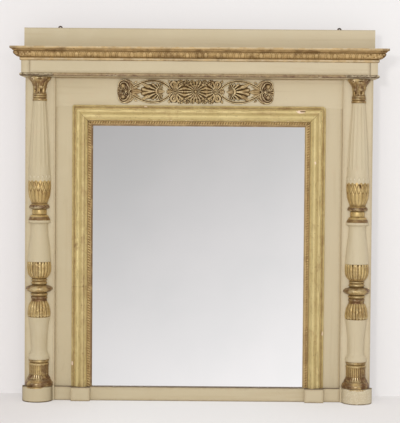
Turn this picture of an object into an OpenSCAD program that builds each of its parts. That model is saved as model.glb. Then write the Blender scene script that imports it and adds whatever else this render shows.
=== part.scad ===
// Overmantel mirror: a cream painted case with gilt half columns, a moulded cornice,
// a pierced ornament and a gilt frame round one sheet of mirror glass.
// Lengths are in millimetres. The back lies on the wall at +Y, the front faces -Y,
// and the middle of the underside is the origin.

/* [Mirror glass] */
// Width of glass that shows inside the frame
sight_w = 798; // [700:1:1000]
// Height of glass that shows above the base
sight_h = 986; // [800:1:1300]
// Thickness of the glass
glass_t = 4; // [3:0.5:6]
// How far the glass runs on behind what holds it
glass_lap = 8; // [5:1:12]
// Free room beside and above the glass in its rebate
glass_play = 1.5; // [0.5:0.5:3]

/* [Gilt frame] */
// Width of the whole frame, rope edge and all
frame_w = 78; // [74:1:110]
// Height of the frame's crown above the field boards
frame_rise = 29; // [25:1:31]
// Width of the rope edge next to the glass
rope_w = 19; // [16:1:21]
// Height of the rope edge above the glass
rope_rise = 12; // [9:1:13]
// Width of the bead along the outer edge
bead_w = 7; // [5:0.5:9]

/* [Case] */
// Field of painted board between the frame and a pilaster
field_w = 63; // [40:0.5:120]
// Width of a pilaster board
pilaster_w = 113; // [112:1:160]
// Distance from the wall to the pilaster faces
case_d = 45; // [40:1:60]
// How far the field lies behind the pilaster faces
field_recess = 16; // [13:1:20]
// Thickness of the rear stiles and rails
rear_t = 16; // [12:1:19]
// Clear width between the rear stiles
rear_open = 872; // [840:1:960]
// Height of the bottom rear rail
rear_bottom_h = 60; // [40:1:90]
// How far the back planks stop below the soffit
plank_stop = 42; // [20:1:80]
// Thickness of a back plank
plank_t = 9; // [6:0.5:11]
// Number of back planks
plank_count = 6; // [4:1:9]
// Open joint between two back planks
plank_gap = 2; // [1:0.5:5]

/* [Base] */
// Height of the base rail and the blocks
base_h = 53; // [42:1:80]
// Height of a half-round plinth
plinth_h = 57; // [44:1:84]
// Thickness of the base rail
base_rail_t = 14; // [10:1:20]
// How far a block stands in front of the base rail
block_proud = 21; // [16:1:30]
// Width of a block under the frame
block_w = 72; // [60:1:76]
// Radius of a half-round plinth
plinth_r = 57.5; // [56:0.5:60]
// Thickness of the flat plate behind a plinth
plinth_plate_t = 5; // [3:0.5:10]
// How far a plinth sits outside its column's axis
plinth_shift = 5; // [0:0.5:6]

/* [Entablature] */
// Height of the painted header between frame and soffit
header_h = 103; // [98:1:160]
// How far the header board runs down behind the frame
header_lap = 7; // [3:1:20]
// Thickness of the soffit board and of its half-round edge
soffit_t = 12; // [8:1:16]
// Height of the small cove under the soffit
cove_h = 5; // [3:0.5:7]
// Depth of the small cove under the soffit
cove_d = 9; // [5:0.5:12]
// Height of the plain frieze
frieze_h = 46; // [30:1:80]
// How far the frieze stands in front of the pilasters
frieze_proj = 60; // [54:1:90]
// How far the frieze stands out beside the case
frieze_side = 8.5; // [8:0.5:20]
// Thickness of the frieze board
frieze_t = 20; // [14:1:28]
// Thickness of a frieze end
frieze_end_t = 30; // [20:1:40]
// Thickness of the board that covers the cornice
cap_t = 10; // [6:1:16]

/* [Cornice] */
// Height of the cornice
cornice_h = 50; // [42:1:70]
// How far the cornice stands out from the frieze
cornice_proj = 38; // [30:1:60]

/* [Attic] */
// Height of the plain board above the cornice
attic_h = 76; // [50:1:120]
// Distance from the wall to the attic's face
attic_d = 45; // [36:1:70]
// How far the attic stands out beside the case
attic_side = 4.5; // [0:0.5:8]
// Thickness of an attic end
attic_end_t = 22; // [14:1:26]

/* [Half columns] */
// How far a column's axis lies outside the middle of its pilaster
column_shift = 2; // [-2:0.5:4]
// Height of the capital
capital_h = 90; // [70:1:110]
// Radius of the capital's rim
capital_r = 43; // [36:0.5:50]
// Height of the collar between shaft and vase
collar_h = 72; // [60:1:90]
// Height of the cream vase
vase_h = 148; // [120:1:190]
// Height of the gadrooned cup under the vase
cup_h = 64; // [48:1:80]
// Height of the knop with its rings
knop_h = 79; // [66:1:100]
// Height of the leaf bell under the knop
bell_h = 66; // [54:1:90]
// Height of the slim lower vase
lower_vase_h = 160; // [120:1:200]
// Height of the fluted foot
foot_h = 100; // [80:1:120]
// Radius at the top of the fluted shaft
shaft_top_r = 25; // [20:0.5:30]
// Radius at the foot of the fluted shaft
shaft_low_r = 41.5; // [38:0.5:46]
// Radius of the leaf cup round the shaft
leaf_r = 43.4; // [41:0.2:50]
// Radius of the vases and cups at their fullest
belly_r = 45; // [42:0.5:50]
// Radius of the big ring on the knop
ring_r = 51; // [47:0.5:55]
// Radius of the narrow necks
neck_r = 29; // [25:0.5:32]
// Radius of the foot's bottom edge
foot_r = 52.5; // [49:0.5:55]
// Depth of the flutes in the shaft
flute_deep = 2.6; // [1:0.2:4]
// Leaves and flutes seen round one half column
leaf_count = 8; // [6:1:10]
// Gadroons seen round one half cup
gadroon_count = 7; // [5:1:9]

/* [Ornament] */
// Length of the pierced ornament
ornament_w = 595; // [480:1:700]
// Height of the pierced ornament
ornament_h = 90; // [70:1:92]
// How far the ornament sits to the left of the middle
ornament_shift = 14; // [0:1:30]
// How far the ornament stops below the cove
ornament_gap = 0.5; // [0:0.5:4]
// Height of the ornament's relief
relief = 11; // [7:0.5:16]

/* [Hanging plates] */
// Distance between the two hanging holes
hanger_span = 1054; // [900:1:1200]
// Radius of a hanging hole
hanger_hole_r = 3; // [2:0.25:4]
// Radius of the plate's round head
hanger_head_r = 8.5; // [7:0.5:12]
// Height of the hole's middle above the attic
hanger_rise = 3.2; // [3:0.1:8]
// Width of the plate's strap
hanger_w = 15; // [11:0.5:16]
// Length of the strap below the top of the case
hanger_len = 80; // [60:1:120]
// Thickness of the plate
hanger_t = 2.5; // [2:0.5:4]
// Radius of a screw's shank
screw_r = 2; // [1.5:0.25:2.5]
// Length of a screw
screw_len = 13; // [9:1:14]

/* [Hidden] */

cream = [0.80, 0.74, 0.62];
gilt = [0.76, 0.62, 0.36];
dark_gilt = [0.55, 0.41, 0.22];
bare_wood = [0.56, 0.43, 0.29];
silver = [0.80, 0.83, 0.86];
iron = [0.22, 0.21, 0.20];

// Heights above the floor, from the bottom up
z_sight = base_h + sight_h;
z_frame = z_sight + frame_w;
z_header = z_frame - header_lap;
z_soffit = z_frame + header_h;
z_frieze = z_soffit + soffit_t;
z_cornice = z_frieze + frieze_h;
z_cap = z_cornice + cornice_h;
z_top = z_cap + attic_h;
z_planks = z_soffit - plank_stop;

// Half widths, from the middle out
x_sight = sight_w / 2;
x_glass = x_sight + glass_lap;
x_open = x_glass + glass_play;
x_frame = x_sight + frame_w;
x_field = x_frame + field_w;
x_case = x_field + pilaster_w;
x_frieze = x_case + frieze_side;
x_frieze_in = x_frieze - frieze_end_t;
x_attic = x_case + attic_side;
x_attic_in = x_attic - attic_end_t;
x_column = x_field + pilaster_w / 2 + column_shift;
x_plinth = x_column + plinth_shift;
x_hanger = hanger_span / 2;

// Distances in front of the wall
d_field = case_d - field_recess;
d_glass = d_field - glass_t;
d_rail = d_field + base_rail_t;
d_block = d_rail + block_proud;
d_frieze = case_d + frieze_proj;
d_front = d_frieze + cornice_proj;
back_y = d_front / 2;

// The rear stiles are cut back above the soffit so that the ends pass beside them
end_clear = 0.5;
x_shoulder = min(x_frieze_in, x_attic_in) - end_clear;

// The shaft takes the height that the other turnings leave
column_rest = foot_h + lower_vase_h + bell_h + knop_h + cup_h + vase_h + collar_h + capital_h;
shaft_h = z_soffit - plinth_h - column_rest;
z_lower_vase = plinth_h + foot_h;
z_bell = z_lower_vase + lower_vase_h;
z_knop = z_bell + bell_h;
z_cup = z_knop + knop_h;
z_vase = z_cup + cup_h;
z_shaft = z_vase + vase_h + collar_h;
z_capital = z_shaft + shaft_h;

// Points on an arc about [x, y], from angle a to angle b
function arc(x, y, r, a, b, n = 8) =
    [for (i = [0:n]) [x + r * cos(a + (b - a) * i / n), y + r * sin(a + (b - a) * i / n)]];

// Points on a curve from a to c that leans towards b
function bend(a, b, c, n = 6) =
    [for (i = [0:n]) let (t = i / n) (1 - t) * (1 - t) * a + 2 * t * (1 - t) * b + t * t * c];

// A smooth curve through the points p, with n steps between two points
function through(a, b, c, d, t) =
    0.5 * (2 * b + (c - a) * t + (2 * a - 5 * b + 4 * c - d) * t * t + (3 * b - a - 3 * c + d) * t * t * t);
function smooth(p, n = 4) = concat(
    [for (i = [0:len(p) - 2]) for (k = [0:n - 1])
        through(p[max(i - 1, 0)], p[i], p[i + 1], p[min(i + 2, len(p) - 1)], k / n)],
    [p[len(p) - 1]]);

// Keeps its children on the right, or mirrors them to the left
module on_side(side) {
    if (side > 0) children();
    else mirror([1, 0, 0]) children();
}

// A board between two places across, two distances from the wall and two heights
module board(x0, x1, d0, d1, z0, z1) {
    translate([x0, back_y - d1, z0]) cube([x1 - x0, d1 - d0, z1 - z0]);
}

// An upright prism on a plan of [across, distance from the wall] points
module plan_prism(points, z0, z1) {
    translate([0, back_y, z0]) mirror([0, 1, 0]) linear_extrude(z1 - z0) polygon(points);
}

// A level prism on an elevation of [across, height] points
module front_prism(points, d0, d1) {
    translate([0, back_y - d0, 0]) rotate([90, 0, 0]) linear_extrude(d1 - d0) polygon(points);
}

// A moulding along X on a section of [distance from the wall, height] points
module run_across(points, x0, x1) {
    section = [for (p = points) [back_y - p[0], p[1]]];
    translate([x0, 0, 0]) rotate([90, 0, 90]) linear_extrude(x1 - x0) polygon(section);
}

// A moulding along Y on a section of [across, height] points
module run_back(points, d0, d1) {
    translate([0, back_y - d0, 0]) rotate([90, 0, 0]) linear_extrude(d1 - d0) polygon(points);
}

// Half of a turned piece, flat side on the pilaster, from a profile of [height, radius] points
module half_turning(profile) {
    last = len(profile) - 1;
    outline = concat([[0, profile[0][0]]], [for (p = profile) [p[1], p[0]]], [[0, profile[last][0]]]);
    rotate([0, 0, 180]) rotate_extrude(angle = 180, $fn = 96) polygon(outline);
}

// Half of a carved turning. Each row is [height, radius, depth, lift]: a positive depth
// swells between grooves, a negative one is a flute, and lift raises the middle of a leaf.
function lobe(u) = sqrt(1 - 0.96 * u * u);
function cut(depth, u) = depth > 0 ? depth * (1 - lobe(u)) : -depth * lobe(u);
module half_carving(rows, lobes, steps) {
    n = lobes * steps;
    per_row = n + 2;
    function across(j) = 2 * ((j % steps) / steps) - 1;
    function place(row, j) =
        let (u = across(j), r = row[1] - cut(row[2], u), a = 180 + 180 * j / n)
        [r * cos(a), j == 0 || j == n ? 0 : r * sin(a), row[0] + row[3] * (1 - abs(u))];
    points = [for (row = rows) each concat([for (j = [0:n]) place(row, j)], [[0, 0, row[0]]])];
    last = len(rows) - 1;
    function at(i, j) = i * per_row + j;
    front = [for (i = [0:last - 1]) for (j = [0:n - 1]) each [
        [at(i, j), at(i + 1, j), at(i + 1, j + 1)],
        [at(i, j), at(i + 1, j + 1), at(i, j + 1)]]];
    back = [for (i = [0:last - 1]) each [
        [at(i, n), at(i + 1, n), at(i + 1, n + 1)],
        [at(i, n), at(i + 1, n + 1), at(i, n + 1)],
        [at(i, n + 1), at(i + 1, n + 1), at(i + 1, 0)],
        [at(i, n + 1), at(i + 1, 0), at(i, 0)]]];
    ends = [for (j = [0:n - 1]) each [
        [at(0, n + 1), at(0, j), at(0, j + 1)],
        [at(last, n + 1), at(last, j + 1), at(last, j)]]];
    polyhedron(points, concat(front, back, ends), convexity = 8);
}

// Puts a column piece on its axis at a height
module on_column(side, z) {
    on_side(side) translate([x_column, back_y - case_d, z]) children();
}

// Attic: a plain board with an end at each side
module attic_board() {
    color(cream) board(-x_attic_in, x_attic_in, rear_t, attic_d, z_cap, z_top);
}

module attic_end(side) {
    color(cream) on_side(side) board(x_attic_in, x_attic, 0, attic_d, z_cap, z_top);
}

// Plan shared by the soffit and the cap board: ears pass beside the rear stiles
entablature_plan = [
    [-x_frieze, 0], [-x_frieze_in, 0], [-x_frieze_in, rear_t], [x_frieze_in, rear_t],
    [x_frieze_in, 0], [x_frieze, 0], [x_frieze, d_frieze], [-x_frieze, d_frieze]];

module cap_board() {
    color(cream) plan_prism(entablature_plan, z_cap - cap_t, z_cap);
}

// Cornice section of [projection, height] points, from the frieze out and up
toe = 5;
toe_fillet = 4.5;
quirk = 2;
top_fillet = 7;
crown_step = 9;
egg_foot = [toe + quirk, toe + toe_fillet + 1];
egg_head = [cornice_proj - crown_step - quirk, cornice_h - 2 * top_fillet - quirk];
cornice_section = concat(
    bend([0, 0], [toe - 1, 0.5], [toe, toe]),
    [[toe, toe + toe_fillet]],
    bend(egg_foot, [(egg_foot[0] + egg_head[0]) / 2 + 2.5, (egg_foot[1] + egg_head[1]) / 2 - 3], egg_head),
    [[cornice_proj - crown_step, egg_head[1] + 1]],
    bend([cornice_proj - crown_step, egg_head[1] + 3],
         [cornice_proj - crown_step + 1, cornice_h - top_fillet - 1],
         [cornice_proj - 3, cornice_h - top_fillet]),
    [[cornice_proj, cornice_h - top_fillet], [cornice_proj, cornice_h], [0, cornice_h]]);

module cornice_front() {
    color(gilt) intersection() {
        run_across([for (p = cornice_section) [d_frieze + p[0], z_cornice + p[1]]],
            -x_frieze - cornice_proj, x_frieze + cornice_proj);
        plan_prism([[-x_frieze, d_frieze], [x_frieze, d_frieze],
            [x_frieze + cornice_proj, d_front], [-x_frieze - cornice_proj, d_front]],
            z_cornice, z_cap);
    }
}

module cornice_return(side) {
    color(gilt) on_side(side) intersection() {
        run_back([for (p = cornice_section) [x_frieze + p[0], z_cornice + p[1]]], 0, d_front);
        plan_prism([[x_frieze, 0], [x_frieze + cornice_proj, 0],
            [x_frieze + cornice_proj, d_front], [x_frieze, d_frieze]], z_cornice, z_cap);
    }
}

module frieze_board() {
    color(cream) board(-x_frieze_in, x_frieze_in, d_frieze - frieze_t, d_frieze, z_frieze, z_cap - cap_t);
}

module frieze_end(side) {
    color(cream) on_side(side) board(x_frieze_in, x_frieze, 0, d_frieze, z_frieze, z_cap - cap_t);
}

module soffit_board() {
    color(cream) plan_prism(entablature_plan, z_soffit, z_frieze);
}

// Half-round edge round the soffit, mitred at the front corners
edge_r = soffit_t / 2;

module astragal_front() {
    color(cream) intersection() {
        translate([-x_frieze - soffit_t, back_y - d_frieze, z_soffit + edge_r]) rotate([0, 90, 0])
            cylinder(r = edge_r, h = 2 * (x_frieze + soffit_t), $fn = 64);
        plan_prism([[-x_frieze, d_frieze], [x_frieze, d_frieze],
            [x_frieze + soffit_t, d_frieze + soffit_t], [-x_frieze - soffit_t, d_frieze + soffit_t]],
            z_soffit - 1, z_frieze + 1);
    }
}

module astragal_return(side) {
    color(cream) on_side(side) intersection() {
        translate([x_frieze, back_y, z_soffit + edge_r]) rotate([90, 0, 0])
            cylinder(r = edge_r, h = d_frieze + soffit_t, $fn = 64);
        plan_prism([[x_frieze, 0], [x_frieze + soffit_t, 0],
            [x_frieze + soffit_t, d_frieze + soffit_t], [x_frieze, d_frieze]],
            z_soffit - 1, z_frieze + 1);
    }
}

module soffit_cove() {
    color(dark_gilt) run_across(concat([[d_field, z_soffit], [d_field, z_soffit - cove_h]],
        bend([d_field + 2, z_soffit - cove_h], [d_field + 2.5, z_soffit - 1.5],
            [d_field + cove_d, z_soffit - 1]),
        [[d_field + cove_d, z_soffit]]), -x_field, x_field);
}

module header_board() {
    color(cream) board(-x_field, x_field, rear_t, d_field, z_header, z_soffit);
}

module pilaster(side) {
    color(cream) on_side(side) board(x_field, x_case, rear_t, case_d, 0, z_soffit);
}

module field_strip(side) {
    color(cream) on_side(side) board(x_open, x_field, rear_t, d_field, 0, z_header);
}

module sight_backing() {
    color(bare_wood) board(-x_open, x_open, rear_t, d_field, z_sight + glass_lap + glass_play, z_header);
}

module base_board() {
    color(bare_wood) board(-x_open, x_open, rear_t, d_field, 0, base_h - glass_lap);
}

module base_rail() {
    color(cream) board(-x_field, x_field, d_field, d_rail, 0, base_h);
}

module frame_block(side) {
    color(cream) on_side(side) board(x_frame - block_w, x_frame, d_rail, d_block, 0, base_h);
}

// Frame section of [distance in from the outer edge, height above the field] points
body_w = frame_w - rope_w;
bead_r = bead_w / 2;
bead_h = frame_rise / 2;
groove_w = 2.5;
groove_h = bead_h - 5;
crown_r = frame_rise - groove_h - 2.5;
crown_in = bead_w + groove_w + crown_r;
crown_end = 62;
fillet_w = 6;
fillet_in = body_w - fillet_w - 7;
fillet_h = frame_rise - 10;
frame_section = concat(
    [[0, 0]],
    arc(bead_r, bead_h - bead_r, bead_r, 180, 0),
    [[bead_w, groove_h], [bead_w + groove_w, groove_h]],
    arc(crown_in, frame_rise - crown_r, crown_r, 180, crown_end, 10),
    bend([crown_in + crown_r * cos(crown_end) + 0.6, frame_rise - crown_r + crown_r * sin(crown_end) - 1.5],
         [crown_in + crown_r * cos(crown_end) + 2.5, fillet_h - 0.5],
         [fillet_in, fillet_h - 1.5]),
    [[fillet_in, fillet_h], [fillet_in + fillet_w, fillet_h],
     [fillet_in + fillet_w, fillet_h - 4], [body_w, rope_rise + 1], [body_w, 0]]);

module frame_rail_top() {
    color(gilt) intersection() {
        run_across([for (p = frame_section) [d_field + p[1], z_frame - p[0]]], -x_frame, x_frame);
        front_prism([[-x_frame, z_frame], [x_frame, z_frame], [x_sight, z_sight], [-x_sight, z_sight]],
            d_field - 1, d_field + frame_rise + 1);
    }
}

module frame_stile(side) {
    color(gilt) on_side(side) intersection() {
        plan_prism([for (p = frame_section) [x_frame - p[0], d_field + p[1]]], base_h, z_frame);
        front_prism([[x_sight, base_h], [x_frame, base_h], [x_frame, z_frame], [x_sight, z_sight]],
            d_field - 1, d_field + frame_rise + 1);
    }
}

// Rope edge section of [distance out from the glass edge, height] points
rope_section = concat([[0, 0], [0, 3]],
    bend([1, 4.5], [rope_w / 4, rope_rise - 1], [rope_w / 2, rope_rise]),
    bend([rope_w / 2 + 1, rope_rise], [rope_w - 3, rope_rise], [rope_w - 1.5, rope_rise - 3]),
    [[rope_w, rope_rise - 3], [rope_w, 0]]);

module rope_top() {
    color(dark_gilt) intersection() {
        run_across([for (p = rope_section) [d_field + p[1], z_sight + p[0]]],
            -x_sight - rope_w, x_sight + rope_w);
        front_prism([[-x_sight, z_sight], [x_sight, z_sight],
            [x_sight + rope_w, z_sight + rope_w], [-x_sight - rope_w, z_sight + rope_w]],
            d_field - 1, d_field + rope_rise + 1);
    }
}

module rope_side(side) {
    color(dark_gilt) on_side(side) intersection() {
        plan_prism([for (p = rope_section) [x_sight + p[0], d_field + p[1]]], base_h, z_sight + rope_w);
        front_prism([[x_sight, base_h], [x_sight + rope_w, base_h],
            [x_sight + rope_w, z_sight + rope_w], [x_sight, z_sight]],
            d_field - 1, d_field + rope_rise + 1);
    }
}

module mirror_glass() {
    color(silver) board(-x_glass, x_glass, d_glass, d_field, base_h - glass_lap, z_sight + glass_lap);
}

// Glue blocks that keep the glass up against the frame
glue_block_l = 60;
glue_block_w = 22;
side_blocks = 4;
top_blocks = 3;
module glass_blocks() {
    color(bare_wood) {
        for (side = [-1, 1]) for (i = [0:side_blocks - 1]) {
            z = base_h + sight_h * (i + 0.5) / side_blocks - glue_block_l / 2;
            on_side(side) plan_prism([[x_open, rear_t], [x_open, d_glass], [x_open - glue_block_w, d_glass]],
                z, z + glue_block_l);
        }
        top = z_sight + glass_lap + glass_play;
        for (i = [0:top_blocks - 1]) {
            x = sight_w * ((i + 0.5) / top_blocks - 0.5) - glue_block_l / 2;
            run_across([[rear_t, top], [d_glass, top], [d_glass, top - glue_block_w]], x, x + glue_block_l);
        }
    }
}

module back_planks() {
    pitch = (z_planks - rear_bottom_h - plank_gap) / plank_count;
    color(bare_wood) for (i = [0:plank_count - 1]) {
        z = rear_bottom_h + plank_gap + i * pitch;
        board(-rear_open / 2 + end_clear, rear_open / 2 - end_clear, rear_t - plank_t, rear_t,
            z, z + pitch - plank_gap);
    }
}

// Rear frame: the stiles carry the case and the hanging plates
hanger_clear = 0.2;
screw_clear = 0.1;
screw_drops = [hanger_len * 0.25, hanger_len * 0.78];

module rear_stile(side) {
    color(bare_wood) on_side(side) difference() {
        board(rear_open / 2, x_case, 0, rear_t, 0, z_top);
        board(x_shoulder, x_case + 1, -1, rear_t + 1, z_soffit, z_top + 1);
        board(x_hanger - hanger_w / 2 - hanger_clear, x_hanger + hanger_w / 2 + hanger_clear,
            -1, hanger_t, z_top - hanger_len - hanger_clear, z_top + 1);
        for (drop = screw_drops)
            translate([x_hanger, back_y, z_top - drop]) rotate([90, 0, 0])
                cylinder(r = screw_r + screw_clear, h = screw_len + 1, $fn = 32);
    }
}

module rear_rail_top() {
    color(bare_wood) board(-rear_open / 2, rear_open / 2, 0, rear_t, z_planks, z_top);
}

module rear_rail_bottom() {
    color(bare_wood) board(-rear_open / 2, rear_open / 2, 0, rear_t, 0, rear_bottom_h);
}

// Capital: two rings, then a bell of ribs that flares into a rim of leaf tips
module capital(side) {
    ring = shaft_top_r + 1.5;
    neck = shaft_top_r - 0.6;
    color(gilt) on_column(side, z_capital) half_carving([
        [0, ring - 1, 0, 0], [1.5, ring, 0, 0], [6, ring, 0, 0], [8, neck, 0, 0],
        [9.5, neck, 0, 0], [11.5, ring, 0, 0], [16, ring, 0, 0], [18, neck, 0, 0],
        [24, neck, 1.6, 0], [capital_h * 0.46, neck, 2.2, 0], [capital_h * 0.66, neck + 1.6, 2.2, 0],
        [capital_h * 0.79, neck + 6.4, 2.4, 0], [capital_h * 0.89, capital_r - 6.5, 2.8, 0],
        [capital_h - 4.5, capital_r, 3.4, 1.5], [capital_h - 1, capital_r - 1, 3, 0],
        [capital_h, capital_r - 2.5, 2, 0]], 6, 4);
}

// Shaft: a cup of pointed leaves, then flutes up a slim swelling taper
leaf_notch = 48;
leaf_tip = 37;
flute_start = leaf_notch + leaf_tip + 8;
function taper(t) = shaft_low_r - (shaft_low_r - shaft_top_r) * pow(t, 1.45);
module shaft(side) {
    fluted = shaft_h - flute_start;
    color(cream) on_column(side, z_shaft) half_carving(concat([
        [0, neck_r + 0.5, 1, 0], [10, leaf_r - 9.5, 2, 0], [24, leaf_r - 4.4, 2.6, 0],
        [38, leaf_r - 1, 2.8, 8], [leaf_notch, leaf_r, 2.2, leaf_tip],
        [leaf_notch + 1.5, shaft_low_r, 0.4, leaf_tip + 0.5],
        [flute_start, shaft_low_r, -flute_deep / 3, 4]],
        [for (i = [1:7])
            [flute_start + fluted * i / 7.4, taper(i / 7.4), -flute_deep * (1 - 0.35 * i / 7), 0]],
        [[shaft_h - 6, shaft_top_r + 0.3, -0.8, 0], [shaft_h, shaft_top_r, -0.2, 0]]), leaf_count, 4);
}

// Collar and vase, turned in one piece
module vase(side) {
    waist = neck_r + 2.8;
    shoulder = belly_r - 1.5;
    scotia = neck_r - 3.2;
    flare = belly_r - 2.2;
    torus = belly_r - 6.5;
    foot = vase_h;
    color(cream) on_column(side, z_vase) half_turning(concat(
        smooth([[0, shoulder], [vase_h * 0.04, shoulder], [vase_h * 0.29, shoulder - 2.5],
            [vase_h * 0.545, shoulder - 6.8], [vase_h * 0.8, waist + 0.6], [vase_h * 0.95, waist],
            [foot, waist + 1.2]]),
        smooth([[foot + 3, waist + 1.6], [foot + 5, flare - 1], [foot + 6, flare]]),
        [[foot + 10.5, flare], [foot + 11.5, flare - 2]],
        smooth([[foot + 12.5, flare - 3], [foot + 22, waist + 0.4], [foot + collar_h * 0.49, scotia],
            [foot + collar_h * 0.63, scotia + 0.4], [foot + collar_h * 0.67, scotia + 2.6]]),
        smooth([[foot + collar_h * 0.68, torus - 5], [foot + collar_h * 0.71, torus - 2.6],
            [foot + collar_h * 0.79, torus], [foot + collar_h * 0.88, torus - 2],
            [foot + collar_h * 0.945, torus - 4.5]]),
        [[foot + collar_h * 0.955, neck_r + 1.5], [foot + collar_h, neck_r + 1.5]]));
}

// Cup of gadroons that carries the vase
module cup(side) {
    color(gilt) on_column(side, z_cup) half_carving([
        [0, neck_r - 1.5, 0.6, 0], [cup_h * 0.05, neck_r, 1.2, 0], [cup_h * 0.14, neck_r + 5.5, 2.4, 0],
        [cup_h * 0.31, belly_r - 4, 3.2, 0], [cup_h * 0.5, belly_r - 0.8, 3.4, 0],
        [cup_h * 0.7, belly_r + 0.2, 3.4, 0], [cup_h * 0.88, belly_r, 3, 0],
        [cup_h * 0.97, belly_r - 0.5, 2, 0], [cup_h, belly_r - 1.5, 0.4, 0]], gadroon_count, 4);
}

// Knop: one big ring between small ones
module knop(side) {
    hollow = neck_r - 1.8;
    bottom_ring = neck_r + 1.1;
    ring_at = [knop_h * 0.75, knop_h * 0.88];
    function small_ring(z) = smooth([[z - 4, hollow], [z - 3, hollow + 0.3], [z, neck_r + 0.6],
        [z + 3, hollow + 0.3], [z + 4, hollow]], 3);
    color(gilt) on_column(side, z_knop) half_turning(concat(
        [[0, neck_r]],
        smooth([[1, bottom_ring - 1], [4, bottom_ring], [knop_h * 0.19, bottom_ring],
            [knop_h * 0.215, bottom_ring - 1]], 3),
        [[knop_h * 0.235, bottom_ring + 0.5]],
        smooth([[knop_h * 0.25, ring_r - 12.5], [knop_h * 0.31, ring_r - 6.5], [knop_h * 0.42, ring_r - 1.4],
            [knop_h * 0.52, ring_r], [knop_h * 0.58, ring_r - 2.6], [knop_h * 0.62, ring_r - 7],
            [knop_h * 0.655, ring_r - 14]]),
        small_ring(ring_at[0]),
        small_ring(ring_at[1]),
        [[knop_h - 4, hollow], [knop_h, neck_r - 1.2]]));
}

// Bell of upright leaves under the knop
module bell(side) {
    color(gilt) on_column(side, z_bell) half_carving([
        [0, belly_r - 5, 0.3, 0], [bell_h * 0.05, belly_r - 3, 1.8, 0],
        [bell_h * 0.15, belly_r - 2.2, 3.2, 0],
        [bell_h * 0.31, belly_r - 1.8, 3.4, 0], [bell_h * 0.55, belly_r - 2.8, 3.2, 0],
        [bell_h * 0.74, belly_r - 6, 2.8, 0], [bell_h * 0.87, belly_r - 10.5, 2.2, 0],
        [bell_h * 0.96, neck_r + 1.4, 1.2, 0], [bell_h, neck_r + 0.4, 0.5, 0]], leaf_count, 4);
}

// Slim lower vase with a lip at its foot
module lower_vase(side) {
    lip = belly_r - 4.8;
    waist = neck_r + 1.7;
    color(cream) on_column(side, z_lower_vase) half_turning(concat(
        smooth([[0, lip - 1.6], [2, lip - 0.2], [6, lip], [10, lip - 0.2], [12, lip - 1.2]], 3),
        smooth([[13, lip - 1.8], [lower_vase_h * 0.15, lip - 4.7], [lower_vase_h * 0.19, waist + 1.9],
            [lower_vase_h * 0.265, waist], [lower_vase_h * 0.5, waist + 0.8],
            [lower_vase_h * 0.74, waist + 4.4],
            [lower_vase_h * 0.96, belly_r - 5.2], [lower_vase_h, belly_r - 5]])));
}

// Foot: a round edge, a flare of leaves and a fluted drum
module foot(side) {
    drum = neck_r + 7.6;
    color(gilt) on_column(side, plinth_h) half_carving([
        [0, foot_r - 0.6, 0, 0], [2, foot_r, 0, 0], [7, foot_r, 0, 0], [9.5, foot_r - 2, 0, 0],
        [12, foot_r - 1.6, 1.6, 0], [18, foot_r - 4, 2.8, 0], [25, drum + 7, 2.8, 0],
        [31, drum + 2.6, 2.2, 0], [36, drum + 0.4, 1, 0], [41, drum, -1.4, 0],
        [foot_h * 0.62, drum - 0.3, -2, 0], [foot_h - 14, drum, -1.8, 0], [foot_h - 11, drum + 0.3, 0, 0],
        [foot_h - 8, drum + 0.8, 0, 0], [foot_h - 2, drum + 0.8, 0, 0], [foot_h, drum, 0, 0]], 10, 4);
}

// Half-round plinth on a flat plate
module plinth(side) {
    color(cream) on_side(side) union() {
        board(x_field, x_plinth + plinth_r, case_d, case_d + plinth_plate_t, 0, plinth_h);
        intersection() {
            translate([x_plinth, back_y - case_d, 0]) cylinder(r = plinth_r, h = plinth_h, $fn = 96);
            board(x_plinth - plinth_r - 1, x_plinth + plinth_r + 1, case_d, case_d + plinth_r + 1, 0, plinth_h);
        }
    }
}

// Pierced ornament, laid out flat from its middle: x across, y up, z out of the header

// A leaf from the origin along +X, full near its middle, with a raised midrib
module leaf(length, width, rise) {
    stations = [[0, 0.3, 0.6], [0.3, 0.85, 1], [0.62, 1, 0.95], [0.86, 0.6, 0.55]];
    n = len(stations);
    points = concat([for (s = stations) each [
        [s[0] * length, -s[1] * width / 2, 0],
        [s[0] * length, 0, s[2] * rise],
        [s[0] * length, s[1] * width / 2, 0]]], [[length, 0, 0]]);
    between = [for (i = [0:n - 2]) each let (a = 3 * i, b = a + 3) [
        [a, a + 1, b + 1], [a, b + 1, b], [a + 1, a + 2, b + 2], [a + 1, b + 2, b + 1],
        [a + 2, a, b], [a + 2, b, b + 2]]];
    last = 3 * n - 3;
    ends = [[0, 2, 1], [last, last + 1, 3 * n], [last + 1, last + 2, 3 * n], [last + 2, last, 3 * n]];
    polyhedron(points, concat(between, ends));
}

// A band through the points p, with sloping sides and a flat crown
module strap(p, width, rise) {
    last = len(p) - 1;
    section = [[-0.5, 0], [-0.2, 1], [0.2, 1], [0.5, 0]];
    function aside(i) = let (d = p[min(i + 1, last)] - p[max(i - 1, 0)]) [-d[1], d[0]] / norm(d);
    points = [for (i = [0:last]) for (s = section)
        [p[i][0] + aside(i)[0] * s[0] * width, p[i][1] + aside(i)[1] * s[0] * width, s[1] * rise]];
    sides = [for (i = [0:last - 1]) for (k = [0:3])
        let (a = 4 * i + k, d = 4 * i + (k + 1) % 4) each [[a, d, d + 4], [a, d + 4, a + 4]]];
    polyhedron(points, concat([[3, 2, 1, 0]], sides, [[for (k = [0:3]) 4 * last + k]]));
}

// Leaves that spread from one place; the outer ones are shorter
module fan(at, facing, spread, count, length, width, rise, shorten = 0.3) {
    translate([at[0], at[1], 0]) for (i = [0:count - 1]) {
        off = 2 * i / (count - 1) - 1;
        rotate([0, 0, facing + spread * off / 2]) leaf(length * (1 - shorten * abs(off)), width, rise);
    }
}

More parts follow.
